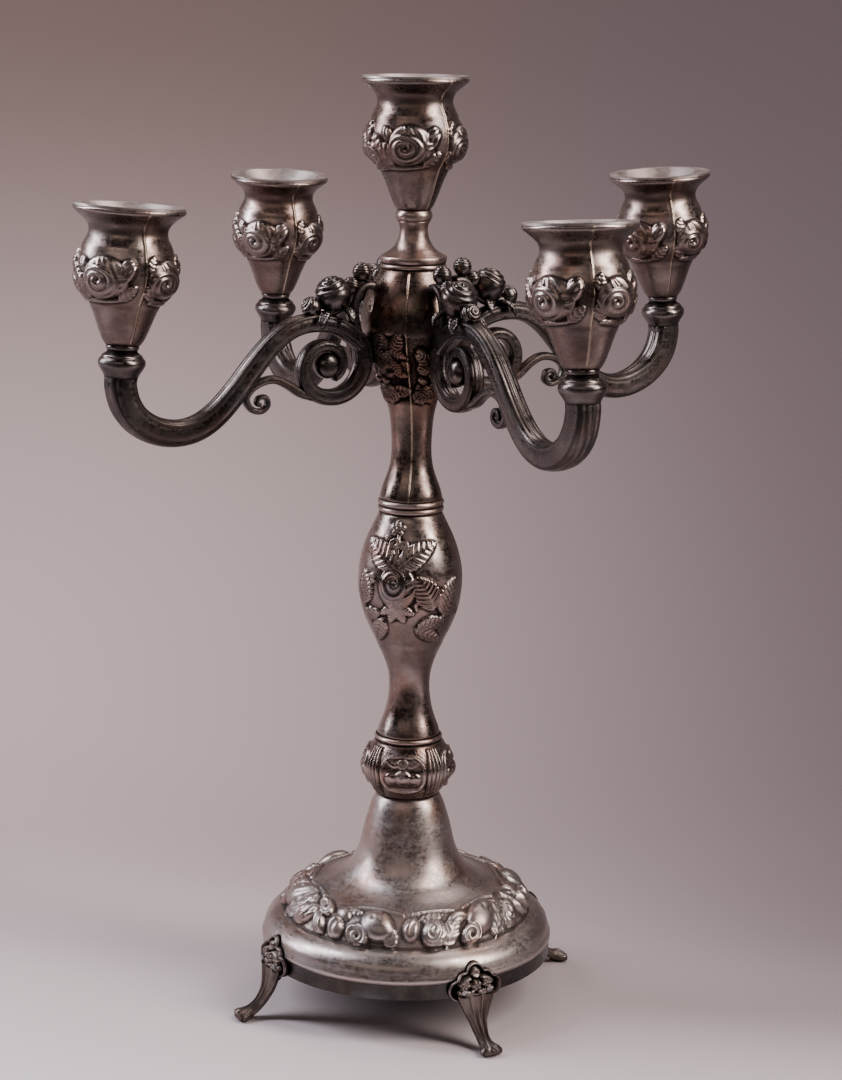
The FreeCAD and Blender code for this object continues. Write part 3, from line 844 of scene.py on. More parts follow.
@dataclass
class TurnedSkin:
    """A turned, thin-walled piece rebuilt on its CAD outline with ornament raised on it."""

    name: str
    node: str
    place: Matrix = field(default_factory=Matrix)
    columns: int = 220
    coarse: float = 1.1 * MM
    fine: float = 0.42 * MM
    bands: tuple[tuple[float, float], ...] = ()
    groups: tuple[Group, ...] = ()
    seams: tuple[Seam, ...] = ()
    sink: float = 0.0
    dents: float = 0.05
    pebbles: float = 0.0
    crisp: float = 0.6
    # how much darker the ornament band is made
    band_darkening: float = 0.0
    seed: int = 1
    outline: tuple[Array, Array] | None = None

    def rows(self) -> tuple[Array, Array, Array]:
        """Outer rows, their outward directions, and the inner rows.

        Returns:
            Outer (radius, height) rows, unit normals, inner rows.
        """
        outer, inner = self.outline or wall(self.node, self.place)
        rows = spaced(eased(outer), self.bands, self.fine, self.coarse)
        run = np.gradient(rows, axis=0)
        normal = np.stack([run[:, 1], -run[:, 0]], -1)
        padded = np.pad(normal, ((2, 2), (0, 0)), mode="edge")
        normal = np.array([np.convolve(padded[:, k], np.ones(5) / 5, "valid") for k in (0, 1)]).T
        normal /= np.linalg.norm(normal, axis=1)[:, None]
        hollow = spaced(inner[::-1], (), self.fine, self.coarse * 2) if len(inner) > 3 else np.zeros((0, 2))
        return rows, normal, hollow

    def field(self, rows: Array, azimuth: Array) -> tuple[Array, Array, Array]:
        """Ornament over the outer grid.

        Args:
            rows: outer (radius, height) rows in metres.
            azimuth: azimuth of each column in radians.

        Returns:
            Height in metres, relief mark from -1 in hollows to 1 on crests, and solder mark.
        """
        mm = rows / MM
        climb = np.concatenate([[0], np.cumsum(np.hypot(*np.diff(mm, axis=0).T))])
        height = np.zeros((len(rows), len(azimuth)))
        inside = np.zeros((len(rows), 1))
        for low, high in self.bands if self.groups else ():
            rise, fall = step_up(rows[:, 1], low, low + 3 * MM), step_up(rows[:, 1], high - 3 * MM, high)
            inside += (rise * (1 - fall))[:, None]
        for group in self.groups:
            level = np.interp(group.level, rows[:, 1], climb)
            turn = (azimuth - math.radians(group.azimuth) + math.pi) % TAU - math.pi
            x = turn[None, :] * mm[:, :1]
            y = (climb - level)[:, None]
            for motif in group.motifs:
                height = np.maximum(height, motif.height(x, y))
        ground = (height < 0.05) * inside
        if self.pebbles:
            height = height + ground * self.pebbles * self.cobble(climb, azimuth, mm)
        rng = np.random.default_rng(self.seed)
        for _ in range(5):
            round_, up, p, q = rng.integers(1, 7), rng.uniform(0.05, 0.22), *rng.uniform(0, TAU, 2)
            across, rising = np.sin(round_ * azimuth + p)[None, :], np.sin(up * climb + q)[:, None]
            height = height + self.dents / 2 * across * rising
        solder = np.zeros_like(height)
        for seam in self.seams:
            wander = seam.drift * np.sin(climb / 19.0)
            turn = (azimuth[None, :] - math.radians(seam.azimuth) + math.pi) % TAU - math.pi
            solder = np.maximum(solder, np.exp(-(((turn * mm[:, :1] - wander[:, None]) / seam.width) ** 2)))
            height = height + seam.lift * solder
        lifted = height - self.sink * inside
        cells = max(2, int(1.3 / (self.fine / MM)))
        relief = (height - blurred(height, cells)) / self.crisp
        relief = relief - 0.3 * ground * blurred(height > 0.3, cells * 2)
        beside = sum(np.interp(climb + k, climb, mm[:, 0]) for k in (-1.3, 1.3)) / 2
        relief = relief + np.clip((mm[:, 0] - beside) / 0.4, -1, 0.8)[:, None]
        # band_darkening lowers the relief mark across the whole ornament band, so the band comes out darker
        return lifted * MM, np.clip(relief - self.band_darkening * inside, -1, 1), solder

    def cobble(self, climb: Array, azimuth: Array, mm: Array) -> Array:
        """Fine punched grain of the sunk ground.

        Args:
            climb: millimetres up the surface for each row.
            azimuth: azimuth of each column in radians.
            mm: (radius, height) rows in millimetres.

        Returns:
            Values from 0 to 1 over the grid.
        """
        lattice = np.random.default_rng(self.seed + 7).uniform(0, 1, (64, 256))
        a = azimuth[None, :] / TAU * 256 * np.ones_like(climb)[:, None]
        b = (climb / (TAU * mm[:, 0].mean() / 256))[:, None] * np.ones_like(azimuth)[None, :]
        ai, bi = np.floor(a).astype(int), np.floor(b).astype(int)
        best = np.full(a.shape, 9.0)
        for di in (-1, 0, 1):
            for dj in (-1, 0, 1):
                cell = lattice[(bi + dj) % 64, (ai + di) % 256]
                other = lattice[(bi + dj + 31) % 64, (ai + di + 77) % 256]
                best = np.minimum(best, np.hypot(ai + di + cell - a, bi + dj + other - b))
        return np.clip(1 - best / 0.62, 0, 1) ** 0.6

    def build(self, finish: bpy.types.Material, slot: Slot,
              body: str = Body.STAND.value) -> bpy.types.Object:
        """Makes the piece and puts it on its body.

        Args:
            finish: its material.
            slot: slot of the record.
            body: body that it rides on.

        Returns:
            The finished piece.
        """
        rows, normal, hollow = self.rows()
        azimuth = np.arange(self.columns) / self.columns * TAU
        height, relief, solder = self.field(rows, azimuth)
        ends = np.minimum(np.arange(len(rows)), np.arange(len(rows))[::-1])
        height = height * np.clip(ends / 3, 0, 1)[:, None]
        radius = rows[:, :1] + height * normal[:, :1]
        up = rows[:, 1:] + height * normal[:, 1:]
        ones = np.ones((len(hollow), self.columns))
        radius = np.vstack([radius, hollow[:, :1] * ones])
        up = np.vstack([up, hollow[:, 1:] * ones])
        marks = {
            "relief": np.vstack([relief, -0.4 * ones]).ravel(),
            "solder": np.vstack([solder, 0 * ones]).ravel(),
        }
        points = np.stack([radius * np.cos(azimuth), radius * np.sin(azimuth), up], -1).reshape(-1, 3)
        if len(hollow):
            faces = [grid_faces(len(up), self.columns, closed=True)]
        else:
            points, faces = capped(points, len(up), self.columns)
            marks = {k: np.append(v, [0, 0]) for k, v in marks.items()}
        turn = np.array(self.place)
        piece = mesh_object(self.name, points @ turn[:3, :3].T + turn[:3, 3], faces, marks)
        return settle(piece, finish, slot, body, self.node)


def settle(piece: bpy.types.Object, finish: bpy.types.Material, slot: Slot, body: str,
           *nodes: str) -> bpy.types.Object:
    """Gives a piece its material and its place in the frame.

    Args:
        piece: finished mesh object.
        finish: its material.
        slot: slot of the record.
        body: body that it rides on.
        *nodes: CAD nodes that it stands for.

    Returns:
        The same piece.
    """
    if not piece.data.materials:
        piece.data.materials.append(finish)
    if nodes:
        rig.replaces(piece, *nodes)
    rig.ride(piece, body)
    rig.slot(piece, slot.value)
    log.info("%s: %d faces, %s", piece.name, len(piece.data.polygons), slot.value)
    return piece


# ---- sweeps and petals through Geometry Nodes


def make_tree(name: str, sockets: dict[str, str]) -> tuple[bpy.types.NodeTree, dict[str, Socket]]:
    """Starts a geometry node tree with named inputs.

    Args:
        name: name of the tree.
        sockets: socket type of each input by name.

    Returns:
        The tree and its input outputs by name.
    """
    tree = bpy.data.node_groups.new(name, "GeometryNodeTree")
    tree.interface.new_socket("Geometry", in_out="INPUT", socket_type="NodeSocketGeometry")
    for key, kind in sockets.items():
        tree.interface.new_socket(key, in_out="INPUT", socket_type=kind)
    tree.interface.new_socket("Geometry", in_out="OUTPUT", socket_type="NodeSocketGeometry")
    start = tree.nodes.new("NodeGroupInput")
    return tree, {s.name: s for s in start.outputs if s.name}


def end_tree(tree: bpy.types.NodeTree, geometry: Socket, finish: Socket) -> None:
    """Ends a tree with real geometry in the given finish.

    Args:
        tree: the node tree.
        geometry: what it makes.
        finish: material socket.
    """
    real = add_node(tree, "GeometryNodeRealizeInstances", {0: geometry})
    shaded = add_node(tree, "GeometryNodeSetMaterial", {"Geometry": real.outputs[0], "Material": finish})
    add_node(tree, "NodeGroupOutput", {0: shaded.outputs[0]})


def sweep_tree() -> bpy.types.NodeTree:
    """Tree that sweeps a section along a flat path, deeper or broader from point to point.

    Returns:
        Tree with inputs Section, Across and Finish; the path carries depth and broad.
    """
    tree, start = make_tree("bar_sweep", {
        "Section": "NodeSocketObject", "Across": "NodeSocketVector", "Finish": "NodeSocketMaterial",
    })
    depth = add_node(tree, "GeometryNodeInputNamedAttribute", {"Name": "depth"}).outputs[0]
    broad = add_node(tree, "GeometryNodeInputNamedAttribute", {"Name": "broad"}).outputs[0]
    line = add_node(tree, "GeometryNodeMeshToCurve", {0: start["Geometry"]})
    facing = add_node(tree, "GeometryNodeSetCurveNormal",
                      {"Curve": line.outputs[0], "Normal": start["Across"]}, mode="FREE")
    sized = add_node(tree, "GeometryNodeSetCurveRadius", {"Curve": facing.outputs[0], "Radius": depth})
    shape = add_node(tree, "GeometryNodeObjectInfo", {"Object": start["Section"]})
    loop = add_node(tree, "GeometryNodeMeshToCurve", {0: shape.outputs["Geometry"]})
    links = {"Curve": sized.outputs[0], "Profile Curve": loop.outputs[0], "Fill Caps": True}
    bar = add_node(tree, "GeometryNodeCurveToMesh", links)
    if "Scale" in bar.inputs:
        tree.links.new(depth, bar.inputs["Scale"])
    place = add_node(tree, "GeometryNodeInputPosition").outputs[0]
    dot = add_node(tree, "ShaderNodeVectorMath", {0: place, 1: start["Across"]},
                   operation="DOT_PRODUCT").outputs["Value"]
    less = add_node(tree, "ShaderNodeMath", {0: broad, 1: 1.0}, operation="SUBTRACT").outputs[0]
    push = add_node(tree, "ShaderNodeMath", {0: dot, 1: less}, operation="MULTIPLY").outputs[0]
    shift = add_node(tree, "ShaderNodeVectorMath", {0: start["Across"], "Scale": push},
                     operation="SCALE").outputs[0]
    wide = add_node(tree, "GeometryNodeSetPosition", {"Geometry": bar.outputs[0], "Offset": shift})
    smooth = add_node(tree, "GeometryNodeSetShadeSmooth", {0: wide.outputs[0]})
    end_tree(tree, smooth.outputs[0], start["Finish"])
    return tree


def petal_tree() -> bpy.types.NodeTree:
    """Tree that sets petals round a ball in a golden-angle spiral, opening towards its foot.

    Returns:
        Tree with inputs Petal, Count, Radius, Closed, Opening, Seed and Finish.
    """
    tree, start = make_tree("petal_spiral", {
        "Petal": "NodeSocketObject", "Count": "NodeSocketInt", "Radius": "NodeSocketFloat",
        "Closed": "NodeSocketFloat", "Opening": "NodeSocketFloat", "Seed": "NodeSocketInt",
        "Finish": "NodeSocketMaterial",
    })
    line = add_node(tree, "GeometryNodeMeshLine", {"Count": start["Count"], "Offset": (0, 0, 0)})
    index = add_node(tree, "GeometryNodeInputIndex").outputs[0]
    last = add_node(tree, "ShaderNodeMath", {0: start["Count"], 1: 1.0}, operation="SUBTRACT").outputs[0]
    share = add_node(tree, "ShaderNodeMath", {0: index, 1: last}, operation="DIVIDE").outputs[0]
    root = add_node(tree, "ShaderNodeMath", {0: share, 1: 0.62}, operation="POWER").outputs[0]
    links = {"Value": root, "To Min": start["Closed"], "To Max": start["Opening"]}
    polar = add_node(tree, "ShaderNodeMapRange", links).outputs[0]
    jitter = add_node(tree, "FunctionNodeRandomValue", {2: -0.16, 3: 0.16, "Seed": start["Seed"]},
                      data_type="FLOAT").outputs[1]
    turn = add_node(tree, "ShaderNodeMath", {0: index, 1: math.radians(137.5), 2: jitter},
                    operation="MULTIPLY_ADD").outputs[0]
    euler = add_node(tree, "ShaderNodeCombineXYZ", {1: polar, 2: turn}).outputs[0]
    tilt = add_node(tree, "FunctionNodeEulerToRotation", {0: euler}).outputs[0]
    out = add_node(tree, "ShaderNodeCombineXYZ", {2: start["Radius"]}).outputs[0]
    place = add_node(tree, "FunctionNodeRotateVector", {0: out, 1: tilt}).outputs[0]
    spots = add_node(tree, "GeometryNodeSetPosition",
                     {"Geometry": line.outputs[0], "Position": place}).outputs[0]
    grow = add_node(tree, "ShaderNodeMapRange", {"Value": root, "To Min": 0.45, "To Max": 1.0}).outputs[0]
    shape = add_node(tree, "GeometryNodeObjectInfo", {"Object": start["Petal"]}).outputs["Geometry"]
    links = {"Points": spots, "Instance": shape, "Rotation": tilt, "Scale": grow}
    placed = add_node(tree, "GeometryNodeInstanceOnPoints", links)
    end_tree(tree, placed.outputs[0], start["Finish"])
    return tree


def grow(source: bpy.types.Object, tree: bpy.types.NodeTree, **inputs) -> tuple[Array, list[Array]]:
    """Runs a node tree on an object and returns what it made.

    Args:
        source: object that it starts from; it is removed.
        tree: the node tree.
        **inputs: value of each input by name.

    Returns:
        Points and faces.
    """
    modifier = source.modifiers.new("grow", "NODES")
    modifier.node_group = tree
    for item in tree.interface.items_tree:
        if item.item_type == "SOCKET" and item.in_out == "INPUT" and item.name in inputs:
            modifier[item.identifier] = inputs[item.name]
    graph = bpy.context.evaluated_depsgraph_get()
    mesh = bpy.data.meshes.new_from_object(source.evaluated_get(graph))
    source.modifiers.remove(modifier)
    bpy.data.objects.remove(source)
    points = np.empty(len(mesh.vertices) * 3, np.float32)
    mesh.vertices.foreach_get("co", points)
    by_size: dict[int, list] = {}
    for face in mesh.polygons:
        by_size.setdefault(len(face.vertices), []).append(tuple(face.vertices))
    return points.reshape(-1, 3).astype(float), [np.array(f) for f in by_size.values()]


def outline_object(name: str, points: Array, closed: bool) -> bpy.types.Object:
    """Makes an object of edges only, for a path or a section.

    Args:
        name: name of the object.
        points: its points.
        closed: whether the last point joins the first.

    Returns:
        The linked object.
    """
    mesh = bpy.data.meshes.new(name)
    count = len(points)
    edges = [(i, (i + 1) % count) for i in range(count if closed else count - 1)]
    mesh.from_pydata([tuple(p) for p in points], edges, [])
    shape = bpy.data.objects.new(name, mesh)
    bpy.context.scene.collection.objects.link(shape)
    return shape


def smooth_path(points: Array, count: int) -> Array:
    """Evenly spaced points on a Catmull-Rom curve.

    Args:
        points: points that the curve passes.
        count: number of points wanted.

    Returns:
        The new points.
    """
    p = np.vstack([2 * points[0] - points[1], points, 2 * points[-1] - points[-2]])
    t = np.linspace(0, 1, 24, endpoint=False)[:, None]
    runs = []
    for a, b, c, d in zip(p, p[1:], p[2:], p[3:]):
        runs.append(0.5 * (2 * b + (c - a) * t + (2 * a - 5 * b + 4 * c - d) * t**2
                           + (3 * b - a - 3 * c + d) * t**3))
    line = np.vstack([*runs, points[-1:]])
    along = np.concatenate([[0], np.cumsum(np.linalg.norm(np.diff(line, axis=0), axis=1))])
    even = np.linspace(0, along[-1], count)
    return np.stack([np.interp(even, along, line[:, k]) for k in range(line.shape[1])], -1)


@dataclass
class Clay:
    """Several shapes gathered into one piece."""

    points: list[Array] = field(default_factory=list)
    faces: dict[int, list[Array]] = field(default_factory=dict)
    relief: list[Array] = field(default_factory=list)
    count: int = 0

    def add(self, points: Array, faces: list[Array], relief: Array | float = 0.0) -> None:
        """Adds a shape.

        Args:
            points: its points.
            faces: its faces.
            relief: relief mark, one for all or one a point.
        """
        for part in faces:
            self.faces.setdefault(part.shape[1], []).append(part + self.count)
        self.points.append(points)
        self.relief.append(np.broadcast_to(relief, len(points)))
        self.count += len(points)

    def piece(self, name: str, place: Matrix) -> bpy.types.Object:
        """Turns what was gathered into one object.

        Args:
            name: the piece's name.
            place: where its own frame lies.

        Returns:
            The object at the origin.
        """
        turn = np.array(place)
        points = np.vstack(self.points) @ turn[:3, :3].T + turn[:3, 3]
        marks = {"relief": np.concatenate(self.relief)}
        return mesh_object(name, points, [np.vstack(f) for f in self.faces.values()], marks)


@dataclass
class Trees:
    """The geometry node trees that the castings share."""

    sweep: bpy.types.NodeTree = field(default_factory=sweep_tree)
    petals: bpy.types.NodeTree = field(default_factory=petal_tree)

    def bar(self, clay: Clay, path: Array, depth: Array, broad: Array, section: Array,
            finish: bpy.types.Material) -> None:
        """Sweeps a bar along a path in the XZ plane.

        Args:
            clay: where it is added.
            path: (x, z) points in metres.
            depth: half depth at each point, in metres.
            broad: half breadth at each point, in metres.
            section: closed outline in units of half depth and half breadth.
            finish: its material.
        """
        line = outline_object("path", np.stack([path[:, 0], 0 * path[:, 0], path[:, 1]], -1), False)
        for key, values in (("depth", depth), ("broad", broad / depth)):
            line.data.attributes.new(key, "FLOAT", "POINT").data.foreach_set(
                "value", values.astype(np.float32))
        shape = outline_object(
            "section", np.stack([section[:, 1], section[:, 0], 0 * section[:, 0]], -1), True)
        clay.add(*grow(line, self.sweep, Section=shape, Across=(0.0, 1.0, 0.0), Finish=finish))
        bpy.data.objects.remove(shape)


def bead_section(square: float, hollow: float, reeds: int, count: int = 72) -> Array:
    """Section of a cast bar: hollow sides between edge beads, and reeds along its faces.

    Args:
        square: how square the outline is.
        hollow: how far the sides sink.
        reeds: number of reeds on the outer and inner faces.
        count: points round the section.

    Returns:
        (depth, breadth) rows in units of the half sizes.
    """
    a = np.arange(count) / count * TAU
    c, s = np.cos(a), np.sin(a)
    scale = (np.abs(c) ** square + np.abs(s) ** square) ** (-1 / square)
    depth, breadth = c * scale, s * scale
    side = step_up(np.abs(breadth), 0.8, 0.97) * (1 - step_up(np.abs(depth), 0.5, 0.78))
    face = step_up(np.abs(depth), 0.8, 0.97) * (1 - step_up(np.abs(breadth), 0.7, 0.95))
    breadth = breadth * (1 - hollow * side)
    depth = depth * (1 - 0.06 * face * (0.5 + 0.5 * np.cos(math.pi * reeds * breadth)))
    return np.stack([depth, breadth], -1)


def boss(outline: Array, columns: int) -> tuple[Array, list[Array]]:
    """Turned shape about Z, closed at both ends.

    Args:
        outline: (radius, height) rows from the foot up.
        columns: points round it.

    Returns:
        Points and faces.
    """
    a = np.arange(columns) / columns * TAU
    points = np.stack([outline[:, :1] * np.cos(a), outline[:, :1] * np.sin(a),
                       outline[:, 1:] * np.ones(columns)], -1)
    return capped(points.reshape(-1, 3), len(outline), columns)


def patch(
    reach: Array, rings: int, thick: float, motifs: tuple[Motif, ...], ground: float
) -> tuple[Array, list[Array], Array]:
    """Flat casting with a free outline and motifs on its face, lying on the XY plane.

    Args:
        reach: outline radius for each spoke, in metres.
        rings: rings from the middle to the edge.
        thick: thickness at its edge.
        motifs: what is raised on its face.
        ground: height of the open ground between the motifs.

    Returns:
        Points, faces and relief marks.
    """
    spokes = len(reach)
    a = np.arange(spokes) / spokes * TAU
    t = (np.arange(1, rings + 1) / rings)[::-1, None] ** 0.85
    x, y = t * reach * np.cos(a), t * reach * np.sin(a)
    height = np.zeros(x.shape)
    for motif in motifs:
        height = np.maximum(height, motif.height(x / MM, y / MM))
    edge = np.exp(-(((1 - t) * reach / MM - 0.7) / 0.55) ** 2) * 0.9
    height = np.maximum(height, edge)
    relief = np.clip((height - 0.45) / 0.5, -1, 1)
    z = thick * (1 - np.clip((t - 0.97) / 0.03, 0, 1) * 0.5) + (height + ground * (height < 0.3)) * MM
    top = np.stack([x, y, z], -1).reshape(-1, 3)
    bottom = np.stack([x[0], y[0], 0 * x[0]], -1)
    points, faces = capped(np.vstack([bottom, top]), rings + 1, spokes)
    return points, faces, np.concatenate([-np.ones(spokes), relief.ravel(), [-1, relief[-1].mean()]])


# ---- where things stand


@dataclass(frozen=True)
class Branch:
    """A candle place: the middle of its cup's underside, the cup's axis, and its lift over the others."""

    name: str
    foot: Vector
    axis: Vector
    rise: float

    @property
    def azimuth(self) -> float:
        """Azimuth of the arm in degrees."""
        return math.degrees(math.atan2(self.foot.y, self.foot.x)) if self.foot.xy.length > MM else 0.0

    @property
    def upright(self) -> Matrix:
        """Frame of the arm: X outward, Z up, on the stem's axis."""
        return Matrix.Rotation(math.radians(self.azimuth), 4, "Z")

    @property
    def place(self) -> Matrix:
        """Frame of the cup: Z along its axis, X away from the stem.

        Returns:
            The frame as a matrix.
        """
        out = self.upright @ Vector((1, 0, 0))
        x = (out - self.axis * out.dot(self.axis)).normalized()
        turn = Matrix((x, self.axis.cross(x), self.axis)).transposed().to_4x4()
        return Matrix.Translation(self.foot) @ turn

    def facing(self, eye: Vector) -> float:
        """Azimuth, in the cup's frame, of the side that faces a point.

        Args:
            eye: the point.

        Returns:
            Azimuth in degrees.
        """
        near = self.place.inverted() @ eye
        return math.degrees(math.atan2(near.y, near.x))


def branches(record: dict) -> list[Branch]:
    """Reads the candle places from the record's mounts.

    Args:
        record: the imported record.

    Returns:
        The middle place first, then the arms'.
    """
    mounts = [m for m in record["mounts"] if m["kind"] == "bore"]
    tops = {m["name"].split("_")[1]: (Vector(m["pos_m"]), Vector(m["axis"]).normalized()) for m in mounts}
    sunk = tops["centre"][0].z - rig.box("cup_centre")[0][2]
    feet = {name: top - axis * sunk for name, (top, axis) in tops.items()}
    lowest = min(foot.z for name, foot in feet.items() if name != "centre")
    return [Branch(n, feet[n], tops[n][1], 0 if n == "centre" else feet[n].z - lowest) for n in tops]


# ---- studio


@dataclass(frozen=True)
class Studio:
    """Seamless paper, softboxes and the camera.

    Lengths are in metres and angles in degrees; the lens and its sensor are in millimetres.
    """

    eye: tuple[float, float, float] = (-0.5424, -0.9725, 0.4665)
    heading: float = 29.4
    pitch: float = 12.47
    roll: float = 0.68
    lens: float = 82.6
    sweep_start: float = 0.3
    sweep_radius: float = 0.5
    half_breadth: float = 3.2
    sensor: float = 36
    aim: float = 0.22

    def camera(self) -> None:
        """Makes the camera the scene is seen from."""
        data = bpy.data.cameras.new("camera")
        data.lens = self.lens
        data.sensor_width = self.sensor
        data.clip_start, data.clip_end = 0.05, 20
        camera = bpy.data.objects.new("camera", data)
        bpy.context.scene.collection.objects.link(camera)
        turn = Matrix.Rotation(-math.radians(self.heading), 4, "Z")
        turn = turn @ Matrix.Rotation(math.radians(90 - self.pitch), 4, "X")
        turn = turn @ Matrix.Rotation(math.radians(self.roll), 4, "Z")
        camera.matrix_world = Matrix.Translation(self.eye) @ turn
        bpy.context.scene.camera = camera

    def paper(self, finish: PaperFinish) -> None:
        """Makes the floor and the backdrop as one sweep of paper.

        Args:
            finish: the paper's finish.
        """
        arc = np.linspace(0, math.pi / 2, 24)
        along = np.concatenate([[-2.6, -1.0, 0.0], self.sweep_start + self.sweep_radius * np.sin(arc)])
        along = np.append(along, along[-1] + 0.02)
        up = np.concatenate([[0, 0, 0], self.sweep_radius * (1 - np.cos(arc)), [3.2]])
        across = np.linspace(-self.half_breadth, self.half_breadth, 9)
        a = math.radians(self.heading)
        ahead, aside = np.array([math.sin(a), math.cos(a)]), np.array([math.cos(a), -math.sin(a)])
        flat = along[:, None, None] * ahead + across[None, :, None] * aside
        points = np.concatenate([flat, np.broadcast_to(up[:, None, None], (*flat.shape[:2], 1))], -1)
        quads = grid_faces(*flat.shape[:2], wraps=False)
        paper = mesh_object("studio_paper", points.reshape(-1, 3), [quads])
        paper.data.materials.append(finish.build())
        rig.stage(paper)

    def softbox(self, name: str, side: float, far: float, high: float, size: tuple, watts: float,
                tint: str) -> None:
        """Hangs a softbox that looks at the object.

        Args:
            name: name of the light.
            side: degrees round the object from the camera, to the right.
            far: distance from the stem in metres.
            high: height in metres.
            size: width and height in metres.
            watts: power.
            tint: colour of the light.
        """
        data = bpy.data.lights.new(name, "AREA")
        data.shape = "RECTANGLE"
        data.size, data.size_y = size
        data.energy = watts
        data.color = srgb(tint)[:3]
        light = bpy.data.objects.new(name, data)
        bpy.context.scene.collection.objects.link(light)
        a = math.radians(VIEWER + side)
        light.location = (far * math.cos(a), far * math.sin(a), high)
        aim = Vector((0, 0, self.aim)) - light.location
        light.rotation_mode = "QUATERNION"
        light.rotation_quaternion = aim.to_track_quat("-Z", "Y")

    def world(self, tint: str, strength: float) -> None:
        """Sets the room's faint even light.

        Args:
            tint: its colour.
            strength: its strength.
        """
        world = bpy.data.worlds.new("room")
        world.use_nodes = True
        back = world.node_tree.nodes["Background"]
        back.inputs["Color"].default_value = srgb(tint)
        back.inputs["Strength"].default_value = strength
        bpy.context.scene.world = world

    def build(self) -> None:
        """Sets up the camera, the paper and the lights."""
        self.camera()
        # the paper's near, middle and far tones carry painted light falloff
        self.paper(PaperFinish(
            "mauve_grey_seamless_paper", "#f8eef2", "#ae9e9d", "#665650", (0.0, 0.46), self.heading))
        self.softbox("key_softbox", 66, 1.15, 1.1, (0.42, 1.3), 30, "#fff4ee")
        self.softbox("left_strip", -98, 1.1, 0.95, (0.32, 1.3), 24, "#f6f4ff")
        self.softbox("overhead", 165, 0.8, 1.5, (1.2, 0.9), 16, "#fff2ee")
        self.softbox("front_card", -20, 2.0, 1.4, (2.2, 0.7), 4.2, "#fbe6dc")
        self.world("#5a5052", 0.24)


# ---- stamped pieces on the stem's axis


@dataclass(frozen=True)
class Base:
    """Stamped dome with its garland."""

    finish: bpy.types.Material
    period: float = 120.0

    def garland(self) -> tuple[Motif, ...]:
        """One run of fruit, roses, buds and leaves.

        Returns:
            The motifs of one period.
        """
        fruit = [Fruit(-13.5, 1.6, 8.0, 4.2, 14), Fruit(-30.4, 5.0, 4.2, 2.4), Bud(2.4, 0.6, 6.2, 3.0, 84)]
        roses = [
            Ring(-22.8, -4.6, 5.6, 3.4), Bud(-34.6, -2.4, 6.4, 3.6, 75), Bud(-44.8, -2.8, 6.0, 3.4, 100),
            Whorl(13.2, -2.4, 7.2, 3.8, 8), Fruit(37.4, 2.4, 8.6, 4.4, -30), Ring(31.0, -5.0, 5.4, 3.8),
            Whorl(57.4, -2.2, 7.0, 3.6, 30), Ring(-41.0, 5.0, 4.6, 2.8), Bud(24.6, 4.4, 5.6, 2.6, 20),
        ]
        leaves = [
            Leaf(-49.0, 4.0, 12.0, 2.0, 160, veins=4), Leaf(-6.6, -8.6, 12.5, 1.9, 100, veins=4),
            Leaf(18.6, -9.0, 17.0, 2.2, 72, slim=0.28, veins=4),
            Leaf(45.6, -9.0, 17.0, 2.4, 82, slim=0.28, veins=4),
            Leaf(50.4, -8.6, 14.0, 2.2, 98, slim=0.26, veins=4), Leaf(6.4, 5.0, 11.0, 1.6, 10, veins=4),
            Leaf(-21.0, 7.0, 9.0, 1.6, 172, veins=4),
            Twig(-25.0, 9.4, 24.0, 1.2, -3, width=0.045, bend=0.1),
            Twig(3.0, 8.8, 20.0, 1.2, 0, width=0.05, bend=0.08),
            Twig(27.0, 9.6, 22.0, 1.2, 0, width=0.045, bend=0.1),
        ]
        return (*fruit, *roses, *leaves)

    def build(self) -> None:
        """Makes the dome."""
        count = int(360 / self.period)
        runs = tuple(Group(VIEWER + k * self.period, 0.0502, self.garland()) for k in range(count))
        TurnedSkin("base_dome_skin", "base_dome", columns=600, coarse=1.6 * MM, fine=0.55 * MM,
                   bands=((0.0412, 0.0585),), groups=runs, sink=0.35, dents=0.07, pebbles=0.24, crisp=1.7,
                   band_darkening=0.38, seed=3).build(self.finish, Slot.BASE)


